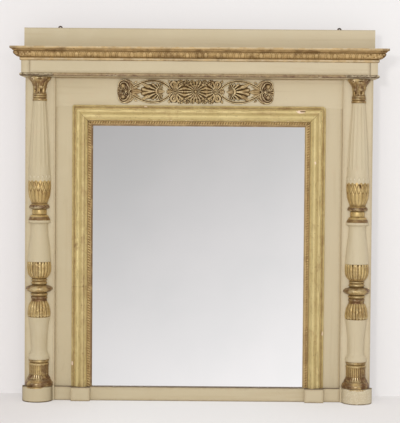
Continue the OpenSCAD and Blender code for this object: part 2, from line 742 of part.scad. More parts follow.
// A pearl in the eye of a scroll
module pearl(at, r, rise) {
    translate([at[0], at[1], 0]) hull() {
        cylinder(r = r, h = rise * 0.7, $fn = 8);
        cylinder(r = r * 0.4, h = rise, $fn = 6);
    }
}

// Points of a spiral about a middle, from angle a to angle b
function scroll(at, r1, r2, a, b, n) =
    [for (i = [0:n]) let (t = i / n, r = r1 + (r2 - r1) * t, c = a + (b - a) * t)
        [at[0] + r * cos(c), at[1] + r * sin(c)]];

half_l = ornament_w / 2;
half_h = ornament_h / 2;
strap_w = 8;
mass_end = half_l * 0.34;
loop_end = half_l - 46;
loop_len = loop_end - mass_end;
volute_at = [half_l - 23, half_h - 23];
corner_at = [mass_end - 17, half_h - 19];

// Upper half of a loop: a pointed oval that ends where the volutes start
loop = [for (i = [0:9]) let (t = i / 9)
    [mass_end + loop_len * t, 2 * (1 - t) + (half_h - 6) * pow(sin(180 * pow(t, 0.9)), 0.9)]];

module ornament_quarter() {
    strap(loop, strap_w, relief * 0.7);
    strap(concat([[loop_end - 14, 2]], scroll(volute_at, 19, 9, 205, -170, 9)), strap_w, relief * 0.75);
    pearl(volute_at, 5, relief * 0.9);
    strap(concat([[corner_at[0] - 34, 4]], scroll(corner_at, 14.5, 8, -60, 230, 6)), strap_w, relief * 0.85);
    pearl(corner_at, 4.5, relief * 0.8);
    translate([loop_end - 28, half_h - 26, 0]) rotate([0, 0, 100]) leaf(22, 9, relief * 0.6);
    translate([16, 6, 0]) rotate([0, 0, 38]) leaf(48, 15, relief * 0.9);
}

module ornament_wing() {
    ornament_quarter();
    mirror([0, 1, 0]) ornament_quarter();
    strap(scroll([mass_end + 22, 0], 15, 15, -62, 62, 4), strap_w * 0.8, relief * 0.8);
    fan([mass_end + 36, 0], 0, 150, 6, loop_len * 0.5, 12, relief * 0.85, 0.45);
    fan([half_l - 34, 0], 0, 60, 3, 30, 8, relief * 0.6);
    fan([24, 0], 0, 24, 3, mass_end - 20, 12, relief);
}

module ornament_middle() {
    petals = 10;
    for (i = [0:petals - 1]) rotate([0, 0, 360 * i / petals]) translate([13, 0, 0]) hull() {
        cylinder(r1 = 5.5, r2 = 2.5, h = relief, $fn = 6);
        translate([-8, 0, 0]) cylinder(r = 1, h = relief * 0.6, $fn = 4);
    }
    pearl([0, 0], 5.5, relief);
    for (up = [90, 270]) {
        fan([0, 0], up, 44, 3, half_h, 15, relief * 0.85, 0);
        for (side = [-1, 1])
            fan([side * 36, 0], up - side * cos(up - 90) * 4, 34, 2, half_h, 15, relief * 0.85, 0);
    }
}

module ornament() {
    color(dark_gilt) translate([-ornament_shift, back_y - d_field,
        z_soffit - cove_h - ornament_gap - half_h]) rotate([90, 0, 0]) {
        ornament_middle();
        ornament_wing();
        mirror([1, 0, 0]) ornament_wing();
    }
}

// Iron hanging plate, let in flush with the back of a rear stile
module hanger_plate(side) {
    color(iron) on_side(side) translate([x_hanger, back_y, z_top]) rotate([90, 0, 0]) difference() {
        union() {
            translate([-hanger_w / 2, -hanger_len, 0]) cube([hanger_w, hanger_len + hanger_rise, hanger_t]);
            translate([0, hanger_rise, 0]) cylinder(r = hanger_head_r, h = hanger_t, $fn = 64);
        }
        translate([0, hanger_rise, -1]) cylinder(r = hanger_hole_r, h = hanger_t + 2, $fn = 48);
        for (drop = screw_drops) translate([0, -drop, 0]) {
            translate([0, 0, -1]) cylinder(r = screw_r + 2 * screw_clear, h = hanger_t + 2, $fn = 32);
            cylinder(r1 = 2 * screw_r + screw_clear, r2 = screw_r + 2 * screw_clear, h = hanger_t, $fn = 32);
        }
    }
}

module hanger_screws() {
    color(iron) for (side = [-1, 1]) on_side(side) for (drop = screw_drops)
        translate([x_hanger, back_y, z_top - drop]) rotate([90, 0, 0]) union() {
            cylinder(r1 = 2 * screw_r, r2 = screw_r, h = hanger_t - screw_clear, $fn = 32);
            cylinder(r = screw_r, h = screw_len, $fn = 32);
        }
}

attic_board();
attic_end(-1);  // attic_end_left
attic_end(1);  // attic_end_right
cap_board();
cornice_front();
cornice_return(-1);  // cornice_return_left
cornice_return(1);  // cornice_return_right
frieze_board();
frieze_end(-1);  // frieze_end_left
frieze_end(1);  // frieze_end_right
soffit_board();
astragal_front();
astragal_return(-1);  // astragal_return_left
astragal_return(1);  // astragal_return_right
soffit_cove();
header_board();
ornament();
pilaster(-1);  // pilaster_left
pilaster(1);  // pilaster_right
field_strip(-1);  // field_strip_left
field_strip(1);  // field_strip_right
sight_backing();
base_board();
base_rail();
frame_block(-1);  // frame_block_left
frame_block(1);  // frame_block_right
frame_rail_top();
frame_stile(-1);  // frame_stile_left
frame_stile(1);  // frame_stile_right
rope_top();
rope_side(-1);  // rope_left
rope_side(1);  // rope_right
mirror_glass();
glass_blocks();
back_planks();
rear_stile(-1);  // rear_stile_left
rear_stile(1);  // rear_stile_right
rear_rail_top();
rear_rail_bottom();
capital(-1);  // capital_left
shaft(-1);  // shaft_left
vase(-1);  // vase_left
cup(-1);  // cup_left
knop(-1);  // knop_left
bell(-1);  // bell_left
lower_vase(-1);  // lower_vase_left
foot(-1);  // foot_left
plinth(-1);  // plinth_left
capital(1);  // capital_right
shaft(1);  // shaft_right
vase(1);  // vase_right
cup(1);  // cup_right
knop(1);  // knop_right
bell(1);  // bell_right
lower_vase(1);  // lower_vase_right
foot(1);  // foot_right
plinth(1);  // plinth_right
hanger_plate(-1);  // hanger_plate_left
hanger_plate(1);  // hanger_plate_right
hanger_screws();
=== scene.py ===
"""Looks of the overmantel mirror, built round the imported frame. Lengths are millimetres up to the mesh, and metres in
materials, camera, lamps and stage."""
import math

import bmesh
import bpy
import numpy as np
from mathutils import Matrix, Vector

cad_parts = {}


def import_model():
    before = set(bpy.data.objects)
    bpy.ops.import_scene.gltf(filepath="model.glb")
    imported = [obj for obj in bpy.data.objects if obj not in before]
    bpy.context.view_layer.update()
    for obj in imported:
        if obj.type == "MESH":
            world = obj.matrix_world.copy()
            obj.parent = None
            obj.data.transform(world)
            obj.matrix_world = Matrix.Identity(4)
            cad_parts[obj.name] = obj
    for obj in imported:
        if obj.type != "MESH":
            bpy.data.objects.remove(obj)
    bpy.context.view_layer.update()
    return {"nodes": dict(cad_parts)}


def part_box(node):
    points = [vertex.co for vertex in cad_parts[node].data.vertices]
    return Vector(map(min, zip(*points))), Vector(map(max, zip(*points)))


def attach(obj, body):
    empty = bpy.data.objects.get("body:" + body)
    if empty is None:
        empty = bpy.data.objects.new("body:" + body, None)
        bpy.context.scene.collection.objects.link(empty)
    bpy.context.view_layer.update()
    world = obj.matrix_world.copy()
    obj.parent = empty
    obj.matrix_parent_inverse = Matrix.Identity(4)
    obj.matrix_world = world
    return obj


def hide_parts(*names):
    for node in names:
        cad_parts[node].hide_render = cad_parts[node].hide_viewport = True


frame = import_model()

MM = 0.001
BACK = 71.5           # wall side of the case, along +Y

# Heights, half widths and distances from the wall side, as in the CAD source
Z_BASE, Z_SIGHT, Z_FRAME, Z_SOFFIT, Z_CORNICE = 53.0, 1039.0, 1117.0, 1220.0, 1278.0
X_SIGHT, X_FRAME, X_FIELD, X_FRIEZE, X_COLUMN, X_PLINTH = 399.0, 477.0, 540.0, 661.5, 598.5, 603.5
ROPE_W = 19.0
X_ROPE, Z_ROPE = X_SIGHT + ROPE_W, Z_SIGHT + ROPE_W
D_FIELD, D_CASE, D_FRIEZE = 29.0, 45.0, 105.0


# ---------------------------------------------------------------- meshes

def new_object(name, mesh):
    obj = bpy.data.objects.new(name, mesh)
    bpy.context.scene.collection.objects.link(obj)
    return obj


def build(name, points, faces, **attributes):
    """A smooth mesh object from points in millimetres (x, y, z) and faces, with float attributes per point."""
    mesh = bpy.data.meshes.new(name)
    mesh.from_pydata((np.asarray(points) * MM).tolist(), [], faces)
    mesh.update()
    for key, values in attributes.items():
        mesh.attributes.new(key, "FLOAT", "POINT").data.foreach_set(
            "value", np.asarray(values, np.float32).ravel())
    mesh.polygons.foreach_set("use_smooth", [True] * len(mesh.polygons))
    return new_object(name, mesh)


def grid_faces(rows, cols, flip=False):
    """Quads of a grid of points numbered row by row."""
    i, j = np.meshgrid(np.arange(rows - 1), np.arange(cols - 1), indexing="ij")
    a = (i * cols + j).ravel()
    quads = np.stack([a, a + 1, a + cols + 1, a + cols], 1)
    return quads[:, ::-1] if flip else quads


def pchip(table, q):
    """A curve through the (place, value) rows that never swings past them."""
    x, y = np.array(table, float).T[:2]
    h, d = np.diff(x), np.diff(y) / np.diff(x)
    m = np.zeros(len(x))
    same = d[:-1] * d[1:] > 0
    m[1:-1][same] = 2 * d[:-1][same] * d[1:][same] / (d[:-1][same] + d[1:][same])
    m[0], m[-1] = d[0], d[-1]
    i = np.clip(np.searchsorted(x, q, "right") - 1, 0, len(x) - 2)
    t = unit((q - x[i]) / h[i])
    return ((1 + 2 * t) * (1 - t) ** 2 * y[i] + t * (1 - t) ** 2 * h[i] * m[i]
            + t * t * (3 - 2 * t) * y[i + 1] + t * t * (t - 1) * h[i] * m[i + 1])


def blur(a, k):
    """Two passes of a box mean of half width k along both axes of a."""
    for _ in range(2):
        for axis in (0, 1):
            n = min(k, (a.shape[axis] - 1) // 2)
            if n < 1:
                continue
            pad = [(0, 0), (0, 0)]
            pad[axis] = (n + 1, n)
            c = np.cumsum(np.pad(a, pad, mode="edge"), axis=axis)
            a = (np.take(c, range(2 * n + 1, c.shape[axis]), axis)
                 - np.take(c, range(0, c.shape[axis] - 2 * n - 1), axis)) / (2 * n + 1)
    return a


def wobble(like, cells, seed):
    """Smooth noise between -1 and 1 on a grid like the given one, with about cells[i] bumps along axis i."""
    rng = np.random.default_rng(seed)
    knots = rng.uniform(-1, 1, (int(cells[0]) + 3, int(cells[1]) + 3))
    out = knots
    for axis, n in enumerate(like.shape):
        q = np.linspace(0, out.shape[axis] - 2.001, n)
        i = q.astype(int)
        t = q - i
        t = t * t * (3 - 2 * t)
        t = t[:, None] if axis == 0 else t[None, :]
        out = np.take(out, i, axis) * (1 - t) + np.take(out, i + 1, axis) * t
    return out


def waves(like, length, across, seed):
    """Smooth noise with a bump every length rows along a moulding and across bumps over it."""
    return wobble(like, (like.shape[0] / length, across), seed)


def unit(x):
    return np.clip(x, 0, 1)


def hump(x, width):
    """A bell curve: 1 at 0, falling off over width."""
    return np.exp(-(x / width) ** 2)


def smoothstep(a, b, x):
    t = unit((x - a) / (b - a))
    return t * t * (3 - 2 * t)


def between(z, a, b, soft):
    """1 from a to b, falling to 0 over soft on both sides."""
    return smoothstep(a - soft, a, z) * smoothstep(b + soft, b, z)


# ---------------------------------------------------------------- materials

def rgb(r, g, b):
    """Screen values 0-255 as linear colour."""
    return tuple((c / 255 / 12.92) if c <= 10 else ((c / 255 + 0.055) / 1.055) ** 2.4 for c in (r, g, b)) + (1.0,)


class Graph:
    """A short way to write a material's nodes."""

    def __init__(self, name):
        self.material = bpy.data.materials.new(name)
        self.material.use_nodes = True
        self.tree = self.material.node_tree
        self.tree.nodes.clear()
        self.out = self.add("ShaderNodeOutputMaterial")
        self.place = self.add("ShaderNodeTexCoord").outputs["Object"]

    def put(self, socket, value):
        if isinstance(value, bpy.types.NodeSocket):
            self.tree.links.new(value, socket)
        else:
            socket.default_value = value

    def add(self, kind, inputs=None, **props):
        node = self.tree.nodes.new(kind)
        for key, value in props.items():
            setattr(node, key, value)
        for key, value in (inputs or {}).items():
            self.put(node.inputs[key], value)
        return node

    def math(self, op, a, b=0.5, c=0.5):
        return self.add("ShaderNodeMath", {0: a, 1: b, 2: c}, operation=op).outputs[0]

    def times(self, a, b):
        return self.math("MULTIPLY", a, b)

    def plus(self, a, b):
        return self.math("ADD", a, b)

    def minus(self, a, b):
        return self.math("SUBTRACT", a, b)

    def invert(self, a):
        return self.minus(1.0, a)

    def line(self, a, b, c):
        """a times b plus c."""
        return self.math("MULTIPLY_ADD", a, b, c)

    def axes(self, vector):
        return self.add("ShaderNodeSeparateXYZ", {0: vector}).outputs

    def mix(self, f, a, b):
        return self.add("ShaderNodeMix", {0: f, 6: a, 7: b}, data_type="RGBA").outputs[2]

    def over(self, color, tone, share, part=None):
        """The colour with a tone in screen values laid over it, by share, or by share times part."""
        return self.mix(share if part is None else self.times(share, part), color, rgb(*tone))

    def blendf(self, f, a, b):
        return self.add("ShaderNodeMix", {0: f, 2: a, 3: b}, data_type="FLOAT").outputs[0]

    def stretch(self, scale):
        return self.add("ShaderNodeMapping", {"Vector": self.place, "Scale": scale}).outputs[0]

    def noise(self, scale, detail=3.0, rough=0.55, place=None, warp=0.0):
        return self.add("ShaderNodeTexNoise", {
            "Vector": place or self.place, "Scale": scale, "Detail": detail, "Roughness": rough,
            "Distortion": warp}).outputs[0]

    def cracks(self, scale, place=None):
        return self.add("ShaderNodeTexVoronoi", {"Vector": place or self.place, "Scale": scale},
                        feature="DISTANCE_TO_EDGE").outputs["Distance"]

    def ramp(self, x, low, high):
        """0 below low and 1 above high, smooth between."""
        return self.add("ShaderNodeMapRange", {0: x, 1: low, 2: high}, interpolation_type="SMOOTHSTEP").outputs[0]

    def attribute(self, name):
        return self.add("ShaderNodeAttribute", attribute_name=name).outputs["Fac"]

    def vector(self, name):
        return self.add("ShaderNodeAttribute", attribute_name=name).outputs["Vector"]

    def shade(self, color, rough, metal=0.0, height=None, strength=0.3, distance=0.001, **fixed):
        inputs = {"Base Color": color, "Roughness": rough, "Metallic": metal}
        inputs.update(fixed)
        if height is not None:
            inputs["Normal"] = self.add("ShaderNodeBump", {
                "Height": height, "Strength": strength, "Distance": distance}).outputs[0]
        shader = self.add("ShaderNodeBsdfPrincipled", inputs)
        self.put(self.out.inputs["Surface"], shader.outputs[0])
        return self.material


def cream_color(g, grain, tint=0.0):
    """Aged cream paint: soft clouds, faint strokes along the board and a little grime. Painted light makes it lighter
    to the right. tint makes it browner."""
    # painted light: side lightens the cream towards the right, where more light falls
    side = g.ramp(g.axes(g.place)[0], -0.75, 0.75)
    tone = g.mix(g.ramp(g.noise(3.2, 2.0), 0.35, 0.65), rgb(201, 187, 154), rgb(197, 183, 150))
    tone = g.over(tone, (208, 194, 163), side)
    tone = g.over(tone, (206, 194, 164), g.ramp(g.noise(9.0, 3.0), 0.45, 0.75), 0.5)
    strokes = g.noise(1.0, 4.0, 0.6, g.stretch(grain))
    tone = g.over(tone, (186, 168, 133), g.ramp(strokes, 0.5, 0.72), 0.32)
    warm = g.ramp(g.noise(14.0, 4.0, 0.65), 0.6, 0.78)
    tone = g.over(tone, (205, 178, 147), warm, 0.3)
    crazing = g.invert(g.ramp(g.cracks(70.0, g.stretch((1, 1, 0.6))), 0.0, 0.035))
    crazing = g.times(crazing, g.ramp(g.noise(5.0), 0.5, 0.7))
    tone = g.over(tone, (140, 120, 88), crazing, 0.14)
    specks = g.ramp(g.noise(180.0, 2.0), 0.72, 0.8)
    tone = g.over(tone, (150, 130, 100), specks, 0.3)
    return g.over(tone, (170, 153, 116), tint) if tint else tone, strokes


def edge_distance(g, upright):
    """Distance in metres to the nearest edge of a board, or upright edge, from its two stored corner offsets."""
    low, high = g.vector("from_low"), g.vector("from_high")
    near = g.add("ShaderNodeVectorMath", {0: low, 1: high}, operation="MINIMUM").outputs[0]
    x, y, z = g.axes(near)
    small, large = g.math("MINIMUM", x, y), g.math("MAXIMUM", x, y)
    if upright:
        return large
    return g.math("MAXIMUM", small, g.math("MINIMUM", large, z))


def paint(name, grain=(45.0, 45.0, 2.2), edges=False, low=0.0, rim=None, tint=0.0, joint=0.0):
    """Painted wood. edges ("all" or "upright") darkens a board's arrises with grime and painted shade where boards
    meet and chips them, low lays painted shade on the strip above its lower edge, rim paints dark lines of shade
    along the top and the bottom edge, joint the dark line along the left end and tint a browner tone."""
    g = Graph(name)
    color, strokes = cream_color(g, grain, tint)
    if edges:
        d = edge_distance(g, edges == "upright")
        # the arrises darken with grime and with painted shade where boards meet; the chips are wear
        ragged = g.line(g.noise(60.0, 4.0, 0.7), 0.012, -0.004)
        dirt_and_shade = g.invert(g.ramp(g.minus(d, ragged), 0.0, 0.010))
        color = g.over(color, (160, 138, 102), dirt_and_shade, 0.34)
        chip = g.invert(g.ramp(g.plus(d, g.times(g.noise(110.0, 3.0), 0.005)), 0.0024, 0.0032))
        chip = g.times(chip, g.ramp(g.noise(38.0, 2.0), 0.52, 0.6))
        color = g.over(color, (112, 86, 58), chip, 0.75)
    if low:
        # painted shade: darker towards the lower edge, where the cornice shades the board
        height = g.axes(g.vector("from_low"))[2]
        height = g.plus(height, g.times(g.noise(7.0, 3.0), low * 0.4))
        color = g.over(color, (172, 156, 126), g.invert(g.ramp(height, low * 0.3, low * 1.5)), 0.45)
    for key, part in zip(("from_high", "from_low"), rim or ()):
        # painted shade: dark lines along the top and bottom edges, where a board meets the floor or its neighbour
        height = g.axes(g.vector(key))[2]
        line = g.invert(g.ramp(g.line(g.noise(50.0, 3.0), 0.003, height), 0.002, 0.0058))
        color = g.over(color, (84, 64, 42), line, part)
    if joint:
        left = g.axes(g.vector("from_low"))[0]
        line = g.invert(g.ramp(g.line(g.noise(50.0, 3.0), 0.002, left), 0.0036, 0.0072))
        color = g.over(color, (92, 70, 42), line, joint)
    height = g.plus(g.times(strokes, 0.5), g.times(g.noise(90.0, 4.0), 0.5))
    rough = g.blendf(g.noise(25.0, 3.0), 0.5, 0.72)
    return g.shade(color, rough, 0.0, height, 0.16, 0.0006)


def gold_color(g, deep, light, bole):
    """Worn gilding: leaf tones, rubbed patches and the red-brown ground under it."""
    leaf = g.mix(g.ramp(g.noise(16.0, 4.0, 0.6), 0.36, 0.66), light, deep)
    rubbed = g.ramp(g.noise(30.0, 6.0, 0.7, warp=0.6), 0.54, 0.66)
    return g.mix(g.times(rubbed, 0.5), leaf, bole)


def gilding(name, light, deep, bole, dirt_and_shade=(70, 48, 26), brown=(104, 74, 54), bright=(244, 226, 172), metal=0.5,
            rough=(0.34, 0.55), creamy=False, grain=(45.0, 45.0, 2.2), depth=0.9, soft=0.1,
            bare_and_highlight=(236, 208, 186), tint=0.0):
    """Gilding on a carved piece. Attributes: cavity (grime in hollows, dark joints and painted shade), ridge (painted
    highlight), bole (the red-brown ground, and painted shade on some turnings and frame mouldings), chip (bare
    gesso, and painted highlights on some turnings) and, where it meets paint, gilt.
    """
    g = Graph(name)
    color = gold_color(g, rgb(*deep), rgb(*light), rgb(*bole))
    cavity, ridge, ground = g.attribute("cavity"), g.attribute("ridge"), g.attribute("bole")
    # bole: the red-brown ground, and painted shade where carvings and frame slopes lay it on
    color = g.mix(g.times(ground, g.ramp(g.noise(45.0, 4.0), 0.2, 0.55)), color, rgb(*brown))
    # painted highlight: ridges take the bright colour
    color = g.mix(g.times(ridge, g.ramp(g.noise(70.0, 3.0), 0.3, 0.6)), color, rgb(*bright))
    mask = 1.0
    if creamy:
        mask = g.line(g.noise(120.0, 3.0), 0.5, g.minus(g.attribute("gilt"), 0.25))
        mask = g.ramp(mask, 0.5 - soft, 0.5 + soft)
        cream, _ = cream_color(g, grain, tint)
        color = g.mix(mask, cream, color)
    # grime in the hollows and painted shade in creases and gaps
    color = g.mix(g.times(g.ramp(cavity, 0.05, 0.65), depth), color, rgb(*dirt_and_shade))
    # bare gesso where chips are, and painted highlights where carvings put them into chip
    gesso = g.ramp(g.line(g.noise(220.0, 3.0), 0.4, g.minus(g.attribute("chip"), 0.2)), 0.4, 0.55)
    color = g.mix(gesso, color, rgb(*bare_and_highlight))
    rough = g.blendf(g.noise(40.0, 3.0), *rough)
    shine = g.times(g.invert(g.ramp(cavity, 0.1, 0.6)), metal)
    shine = g.times(shine, g.invert(gesso))
    if creamy:
        rough = g.blendf(mask, 0.62, rough)
        shine = g.times(shine, mask)
    height = g.noise(260.0, 5.0, 0.65)
    gleam = g.blendf(g.ramp(cavity, 0.05, 0.6), 0.45, 0.06)
    return g.shade(color, rough, shine, height, 0.2, 0.0005, **{"Specular IOR Level": gleam})


def cove_paint():
    """The small cove under the soffit: brown gilding above, paint along its lower edge."""
    g = Graph("cove")
    cream, _ = cream_color(g, (2.2, 45.0, 45.0))
    height = g.axes(g.place)[2]
    height = g.line(g.noise(60.0, 3.0), 0.002, height)
    color = g.over(g.over(cream, (226, 212, 180), 0.3), (158, 132, 96), g.ramp(height, 1.2165, 1.2195))
    return g.shade(color, g.blendf(g.noise(40.0, 3.0), 0.45, 0.65), 0.0, g.noise(200.0, 4.0), 0.15, 0.0005)


def silvered_glass():
    """Silvered glass with a few spots; its back has a coat of brown paint."""
    g = Graph("silvered_glass")
    spots = g.ramp(g.noise(140.0, 3.0, 0.6), 0.70, 0.78)
    clouds = g.ramp(g.noise(2.5, 3.0), 0.3, 0.7)
    tone = g.mix(clouds, rgb(243, 242, 242), rgb(238, 238, 238))
    tone = g.over(tone, (120, 112, 100), spots, 0.10)
    normal = g.add("ShaderNodeTexCoord").outputs["Normal"]
    coat = g.ramp(g.axes(normal)[1], 0.5, 0.7)
    tone = g.over(tone, (74, 58, 48), coat)
    rough = g.blendf(coat, g.blendf(clouds, 0.012, 0.03), 0.7)
    return g.shade(tone, rough, g.invert(coat))


def timber(name, grain):
    """Bare softwood, brown with age; grain sets how the fibre runs."""
    g = Graph(name)
    fibre = g.noise(1.0, 6.0, 0.65, g.stretch(grain), warp=0.4)
    color = g.mix(g.ramp(fibre, 0.35, 0.68), rgb(156, 120, 84), rgb(112, 80, 52))
    color = g.over(color, (130, 106, 80), g.ramp(g.noise(6.0, 3.0), 0.45, 0.7), 0.5)
    knots = g.ramp(g.add("ShaderNodeTexVoronoi", {"Vector": g.place, "Scale": 5.0}).outputs["Distance"], 0.0, 0.09)
    color = g.over(color, (52, 34, 22), g.invert(knots), 0.7)
    return g.shade(color, g.blendf(fibre, 0.62, 0.85), 0.0, fibre, 0.35, 0.0008)


def old_iron():
    g = Graph("old_iron")
    rust = g.ramp(g.noise(240.0, 5.0, 0.7), 0.48, 0.62)
    color = g.mix(rust, rgb(52, 48, 46), rgb(98, 62, 42))
    return g.shade(color, g.blendf(rust, 0.42, 0.8), g.minus(0.9, g.times(rust, 0.8)),
                   g.noise(400.0, 4.0), 0.3, 0.0004)


PAINT_UP = paint("cream_upright", edges="upright")
PAINT_STRIP = paint("cream_strip", edges="upright", tint=0.2)
PAINT_ACROSS = paint("cream_across", (2.2, 45.0, 45.0), edges="all", tint=0.1, joint=0.26)
PAINT_END = paint("cream_end", tint=0.06, joint=0.5)
PAINT_ATTIC = paint("cream_attic", (2.2, 45.0, 45.0), low=0.05, rim=(0.3, 0.0))
PAINT_BASE = paint("cream_base", (2.2, 45.0, 45.0), edges="all", rim=(0.8, 0.7), tint=0.16)
PAINT_PLAIN = paint("cream_plain", (2.2, 45.0, 45.0))
GILT_FRAME = gilding("gilt_frame", (219, 200, 142), (208, 188, 130), (192, 164, 112), (110, 86, 48), (146, 110, 68),
                     metal=0.3, rough=(0.42, 0.6), bare_and_highlight=(236, 212, 188))
GILT_CORNICE = gilding("gilt_cornice", (202, 169, 114), (184, 152, 98), (152, 117, 66), (88, 63, 27), (120, 88, 44),
                       (222, 196, 146), metal=0.2, rough=(0.45, 0.65), creamy=True, grain=(2.2, 45.0, 45.0),
                       soft=0.5, depth=0.82)
COLUMN = ((206, 178, 118), (180, 149, 92), (146, 110, 66), (74, 52, 24), (110, 76, 46), (250, 236, 190))
GILT_COLUMN = gilding("gilt_column", *COLUMN, metal=0.5, rough=(0.3, 0.46), depth=0.8, bare_and_highlight=(240, 216, 170))
GILT_OR_CREAM = gilding("gilt_or_cream", *COLUMN, metal=0.5, rough=(0.3, 0.46), creamy=True, depth=0.8,
                        bare_and_highlight=(222, 212, 188), tint=0.14)
GILT_BAND = gilding("gilt_band", (170, 146, 108), (152, 128, 90), (132, 108, 76), metal=0.2, creamy=True,
                    grain=(2.2, 45.0, 45.0))
GILT_ORNAMENT = gilding("gilt_ornament", (187, 162, 115), (160, 132, 89), (130, 102, 66), (62, 42, 18), (122, 94, 64),
                        (236, 216, 172), metal=0.3)
GILT_ROPE = gilding("gilt_rope", (198, 170, 118), (178, 148, 100), (150, 118, 76), (104, 76, 42),
                    (138, 108, 70), metal=0.3)
COVE = cove_paint()
GLASS = silvered_glass()
WOOD_ACROSS = timber("wood_across", (1.6, 30.0, 38.0))
WOOD_UP = timber("wood_up", (38.0, 30.0, 1.6))
IRON = old_iron()


def piece(obj, material, slot, *nodes):
    """Dresses a new piece, seats it on the case and lets it stand for CAD nodes."""
    obj.data.materials.append(material)
    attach(obj, "root")
    if nodes:
        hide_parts(*nodes)
    return obj


def dress(material, *names):
    """A new finish for CAD nodes whose shape stays."""
    for name in names:
        data = frame["nodes"][name].data
        data.materials.clear()
        data.materials.append(material)


# ---------------------------------------------------------------- boards

def board(node, material, soft=1.4, slot="cream_paint"):
    """A board with eased edges in the place of a CAD board."""
    low, high = (np.array(c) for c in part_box(node))
    work = bmesh.new()
    bmesh.ops.create_cube(work, size=1.0)
    size, middle = high - low, (high + low) / 2
    for v in work.verts:
        v.co = [middle[i] + v.co[i] * size[i] for i in range(3)]
    long_axis = int(np.argmax(size))
    cuts = max(1, int(size[long_axis] / 0.03))
    along = [e for e in work.edges if abs((e.verts[0].co - e.verts[1].co)[long_axis]) > 1e-6]
    bmesh.ops.subdivide_edges(work, edges=along, cuts=cuts, use_grid_fill=True)
    sharp = [e for e in work.edges if len(e.link_faces) == 2 and e.calc_face_angle(0) > 0.5]
    bmesh.ops.bevel(work, geom=sharp, offset=soft * MM, segments=3, profile=0.5, affect="EDGES", clamp_overlap=True)
    mesh = bpy.data.meshes.new(node + "_painted")
    work.to_mesh(mesh)
    work.free()
    co = np.zeros(len(mesh.vertices) * 3)
    mesh.vertices.foreach_get("co", co)
    co = co.reshape(-1, 3)
    for key, value in (("from_low", co - low), ("from_high", high - co)):
        mesh.attributes.new(key, "FLOAT_VECTOR", "POINT").data.foreach_set("vector", value.astype(np.float32).ravel())
    mesh.polygons.foreach_set("use_smooth", [False] * len(mesh.polygons))
    return piece(new_object(node + "_painted", mesh), material, slot, node)


board("attic_board", PAINT_ATTIC, 0.3)
board("base_rail", PAINT_BASE)
board("frieze_board", PAINT_ACROSS)
board("header_board", PAINT_PLAIN, 0.2)
board("frieze_end_left", PAINT_UP)
board("frieze_end_right", PAINT_END)
for node, finish, soft in (("attic_end", PAINT_ATTIC, 0.3), ("frame_block", PAINT_BASE, 1.4)):
    for side in ("_left", "_right"):
        board(node + side, finish, soft)
for side in ("_left", "_right"):
    board("pilaster" + side, PAINT_UP, 1.2)
    board("field_strip" + side, PAINT_STRIP, 0.7)

dress(PAINT_PLAIN, "cap_board", "soffit_board", "astragal_return_left", "astragal_return_right")
dress(WOOD_ACROSS, "sight_backing", "base_board", "glass_blocks", "back_planks", "rear_rail_top", "rear_rail_bottom")
dress(WOOD_UP, "rear_stile_left", "rear_stile_right")
dress(IRON, "hanger_plate_left", "hanger_plate_right", "hanger_screws")
dress(GLASS, "mirror_glass")


# ---------------------------------------------------------------- mouldings

def relief_marks(h, k, gain):
    """Cavity and ridge of a height grid, each 0 to 1."""
    rise = (h - blur(h, k)) * gain
    return unit(-rise), unit(rise)


def moulding(name, section, along, place, extra, marks, bole, flip=False, **more):
    """Sweeps a section of (out, up) points. For s along and k across it, extra(s, k) lifts the surface,
    place(out, up, s) gives the point in space and the depth of the mitre's seam, and bole(s, k) and the functions in
    more give attributes. marks says how the lift turns into cavity and ridge."""
    section = np.array(section, float)
    tangent = np.gradient(section, axis=0)
    tangent /= np.maximum(np.linalg.norm(tangent, axis=1, keepdims=True), 1e-9)
    normal = np.stack([tangent[:, 1], -tangent[:, 0]], 1)
    length = np.r_[0, np.cumsum(np.linalg.norm(np.diff(section, axis=0), axis=1))]
    s, k = np.meshgrid(along, length, indexing="ij")
    lift = extra(s, k)
    out = section[None, :, 0] + normal[None, :, 0] * lift
    up = section[None, :, 1] + normal[None, :, 1] * lift
    *points, seam = place(out, up, s)
    cavity, ridge = relief_marks(lift, *marks)
    # concave bends take painted shade as cavity and convex bends painted highlight as ridge; the seam is a dark joint
    bend = np.gradient(np.unwrap(np.arctan2(tangent[:, 1], tangent[:, 0])))
    turn = unit(np.abs(blur(bend[None, :], 1)[0]) * 1.2) * np.sign(bend)
    cavity = unit(cavity + unit(-turn)[None, :] * 0.8 + 0.7 * seam)
    ridge = unit(ridge + unit(turn)[None, :] * 0.5)
    rows, cols = s.shape
    return build(name, np.stack([p.ravel() for p in points], 1), grid_faces(rows, cols, flip).tolist(),
                 cavity=cavity, ridge=ridge, bole=bole(s, k), **{key: fn(s, k) for key, fn in more.items()})


def dense(points, step):
    """Points along straight runs between the given ones, about step apart; each given corner stays."""
    points = np.array(points, float)
    out = [points[:1]]
    for a, b in zip(points[:-1], points[1:]):
        n = max(1, int(round(np.linalg.norm(b - a) / step)))
        out.append(a + (b - a) * (np.arange(1, n + 1) / n)[:, None])
    return np.concatenate(out)


def curve(points, n):
    """A smooth run through a few points."""
    points = np.array(points, float)
    t = np.arange(len(points))
    q = np.linspace(0, len(points) - 1, n)
    return np.stack([pchip(np.stack([t, points[:, i]], 1), q) for i in (0, 1)], 1).tolist()


